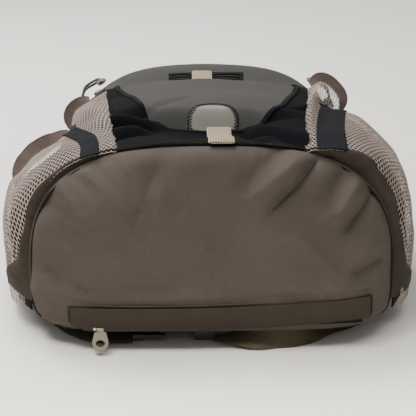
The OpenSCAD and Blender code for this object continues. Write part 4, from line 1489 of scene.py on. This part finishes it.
# ---------------------------------------------------------------- inside
def sleeve_and_reservoir():
    u = np.linspace(-1, 1, 90)
    y = np.linspace(-172, 120, 100)
    x = 100 * u
    z = BACK_Z + 8.6 + 36 * (1 - np.abs(u) ** 5)[:, None] * (1 - np.clip((-150 - y) / 22, 0, 1) ** 2)
    z = z + 1.0 * soft_noise(x[:, None] / 30, y / 34)
    p = np.stack(np.broadcast_arrays(x[:, None], y, z), -1)
    obj = sheet_mesh("sleeve_cloth", p, (x[:, None], y), 0.8)
    place(obj, "pack_body", "lining", LINING, "hydration_sleeve")
    hem = ribbon_mesh("sleeve_hem", p[:, -1] + np.array([0, 0, 0.4]), UP, 8.0, 1.6, 7)
    place(hem, "pack_body", "black_webbing", BLACK_WEB)
    pouch = slab("pouch", rounded_box(-81, 81, -149, 125, 24), BACK_Z + 10, BACK_Z + 33, rings=16)
    place(pouch, "pack_body", "reservoir_film", FILM, "reservoir")
    a = np.linspace(0, 2 * math.pi, 160, endpoint=False)
    x, down = base_ring(a)
    rho = np.linspace(0.02, 0.84, 20)
    xx = rho[:, None] * x
    dd = BASE_UP + rho[:, None] * (down - BASE_UP)
    p = base_point(xx, -33.5 + 0.8 * soft_noise(xx / 30, dd / 30), dd)
    obj = sheet_mesh("base_lining", p, (xx, dd), turn=True, wrap_u=True)
    place(obj, "pack_body", "lining", LINING, "base_pocket_lining")


# ---------------------------------------------------------------- stage
def backdrop():
    """One sweep of pale paper: a floor, a wide curve and a wall."""
    radius, start = 600, 2300
    turn = np.linspace(0.05, math.pi / 2, 24)
    curve = np.stack([start + radius * np.sin(turn), radius * (1 - np.cos(turn))], 1)
    path = np.concatenate([[(-4000, 0), (start, 0)], curve, [(start + radius, 4000)]])
    x, y, z = np.array([[-4000.0], [4000.0]]), path[:, 0], path[:, 1]
    obj = sheet_mesh("paper", np.stack(np.broadcast_arrays(x, y, z), -1), (x, y + z))
    paint(obj, Shade("paper", linear(226, 224, 218), 0.9).mat)


def area_light(name, at, aim, size, power, colour=(1, 1, 1), spread=180):
    data = bpy.data.lights.new(name, "AREA")
    data.shape = "RECTANGLE"
    data.size, data.size_y = size
    data.energy = power
    data.color = colour
    data.spread = math.radians(spread)
    obj = bpy.data.objects.new(name, data)
    obj.location = at
    obj.rotation_euler = (Vector(aim) - Vector(at)).to_track_quat("-Z", "Y").to_euler()
    bpy.context.scene.collection.objects.link(obj)


def lights():
    world = bpy.data.worlds.new("studio")
    world.use_nodes = True
    sky = world.node_tree.nodes["Background"].inputs
    sky["Color"].default_value = (1.0, 0.99, 0.97, 1)
    sky["Strength"].default_value = 0.45
    bpy.context.scene.world = world
    area_light("overhead", (-0.4, 0.38, 1.45), (0, -0.05, 0.05), (0.8, 0.6), 34, (1.0, 0.99, 0.965))
    area_light("near_floor", (-0.45, -0.62, 1.35), (-0.05, -0.62, 0), (0.5, 0.35), 13, (1.0, 0.975, 0.93))
    area_light("floor_pool", (0.0, -0.74, 0.95), (0, -0.68, 0), (0.9, 0.25), 5, (1.0, 0.965, 0.91), 60)
    area_light("wall", (0.2, 1.9, 2.3), (0.1, 2.7, 0.9), (1.6, 0.5), 34)
    area_light("back_left", (-1.1, 0.75, 0.9), (-0.25, 0.1, 0.0), (0.6, 0.6), 9)


def camera():
    azimuth, elevation, distance = math.radians(-0.97), math.radians(20.44), 0.828
    target = Vector((-0.0032, -0.245, 0.1147))
    flat = math.cos(elevation)
    away = Vector((math.sin(azimuth) * flat, -math.cos(azimuth) * flat, math.sin(elevation)))
    data = bpy.data.cameras.new("camera")
    data.lens = 95.7
    data.sensor_width = 36
    obj = bpy.data.objects.new("camera", data)
    obj.location = target + distance * away
    obj.rotation_euler = (-away).to_track_quat("-Z", "Y").to_euler()
    bpy.context.scene.collection.objects.link(obj)
    bpy.context.scene.camera = obj


HARD_PARTS = {
    "main_slider_left": ZIP_METAL, "main_slider_right": ZIP_METAL, "base_slider": ZIP_METAL,
    "base_puller": PULLER, "main_pull_left": RUBBER, "main_pull_right": RUBBER,
    "hose_port": PLASTIC, "hang_clip": PLASTIC, "ladder_lock_left": PLASTIC, "ladder_lock_right": PLASTIC,
    "sternum_buckle_male": PLASTIC, "sternum_buckle_female": PLASTIC, "waist_buckle_male": PLASTIC,
    "waist_buckle_female": PLASTIC, "frame_sheet": FRAME_PLASTIC, "reservoir_port": FRAME_PLASTIC,
    "frame_stay": ALLOY, "reservoir_cap": CAP_PLASTIC,
}


def cad_materials():
    """Materials for the hard parts that keep their CAD meshes."""
    for node, material in HARD_PARTS.items():
        paint(bpy.data.objects.get(node), material)


def build():
    bottom_panel()
    for side in (-1, 1):
        POCKET[side] = Pocket(side)
        side_boot(side)
    front_boot()
    seam_cord()
    storm_flap()
    bar_tacks()
    base_zip()
    front_panel()
    stretch_pocket()
    stretch_hem()
    front_tab()
    reflective_disc()
    for side in (-1, 1):
        side_wall(side)
        pocket_mesh(side)
        pocket_binding(side)
        pocket_band(side)
    lid_panel()
    lid_fold()
    zip_half("lid_zip_half", 1, HINGE_Y + 12, "lid", "lid_zip_tape")
    zip_half("body_zip_half", -1, HINGE_Y + 0.5, "pack_body", "main_zip_tape")
    lid_piping()
    zip_grips()
    lid_ladder()
    lid_tab()
    top_panel()
    back_system()
    straps()
    waist_belts()
    haul_loop()
    sleeve_and_reservoir()


build()
cad_materials()
backdrop()
lights()
camera()
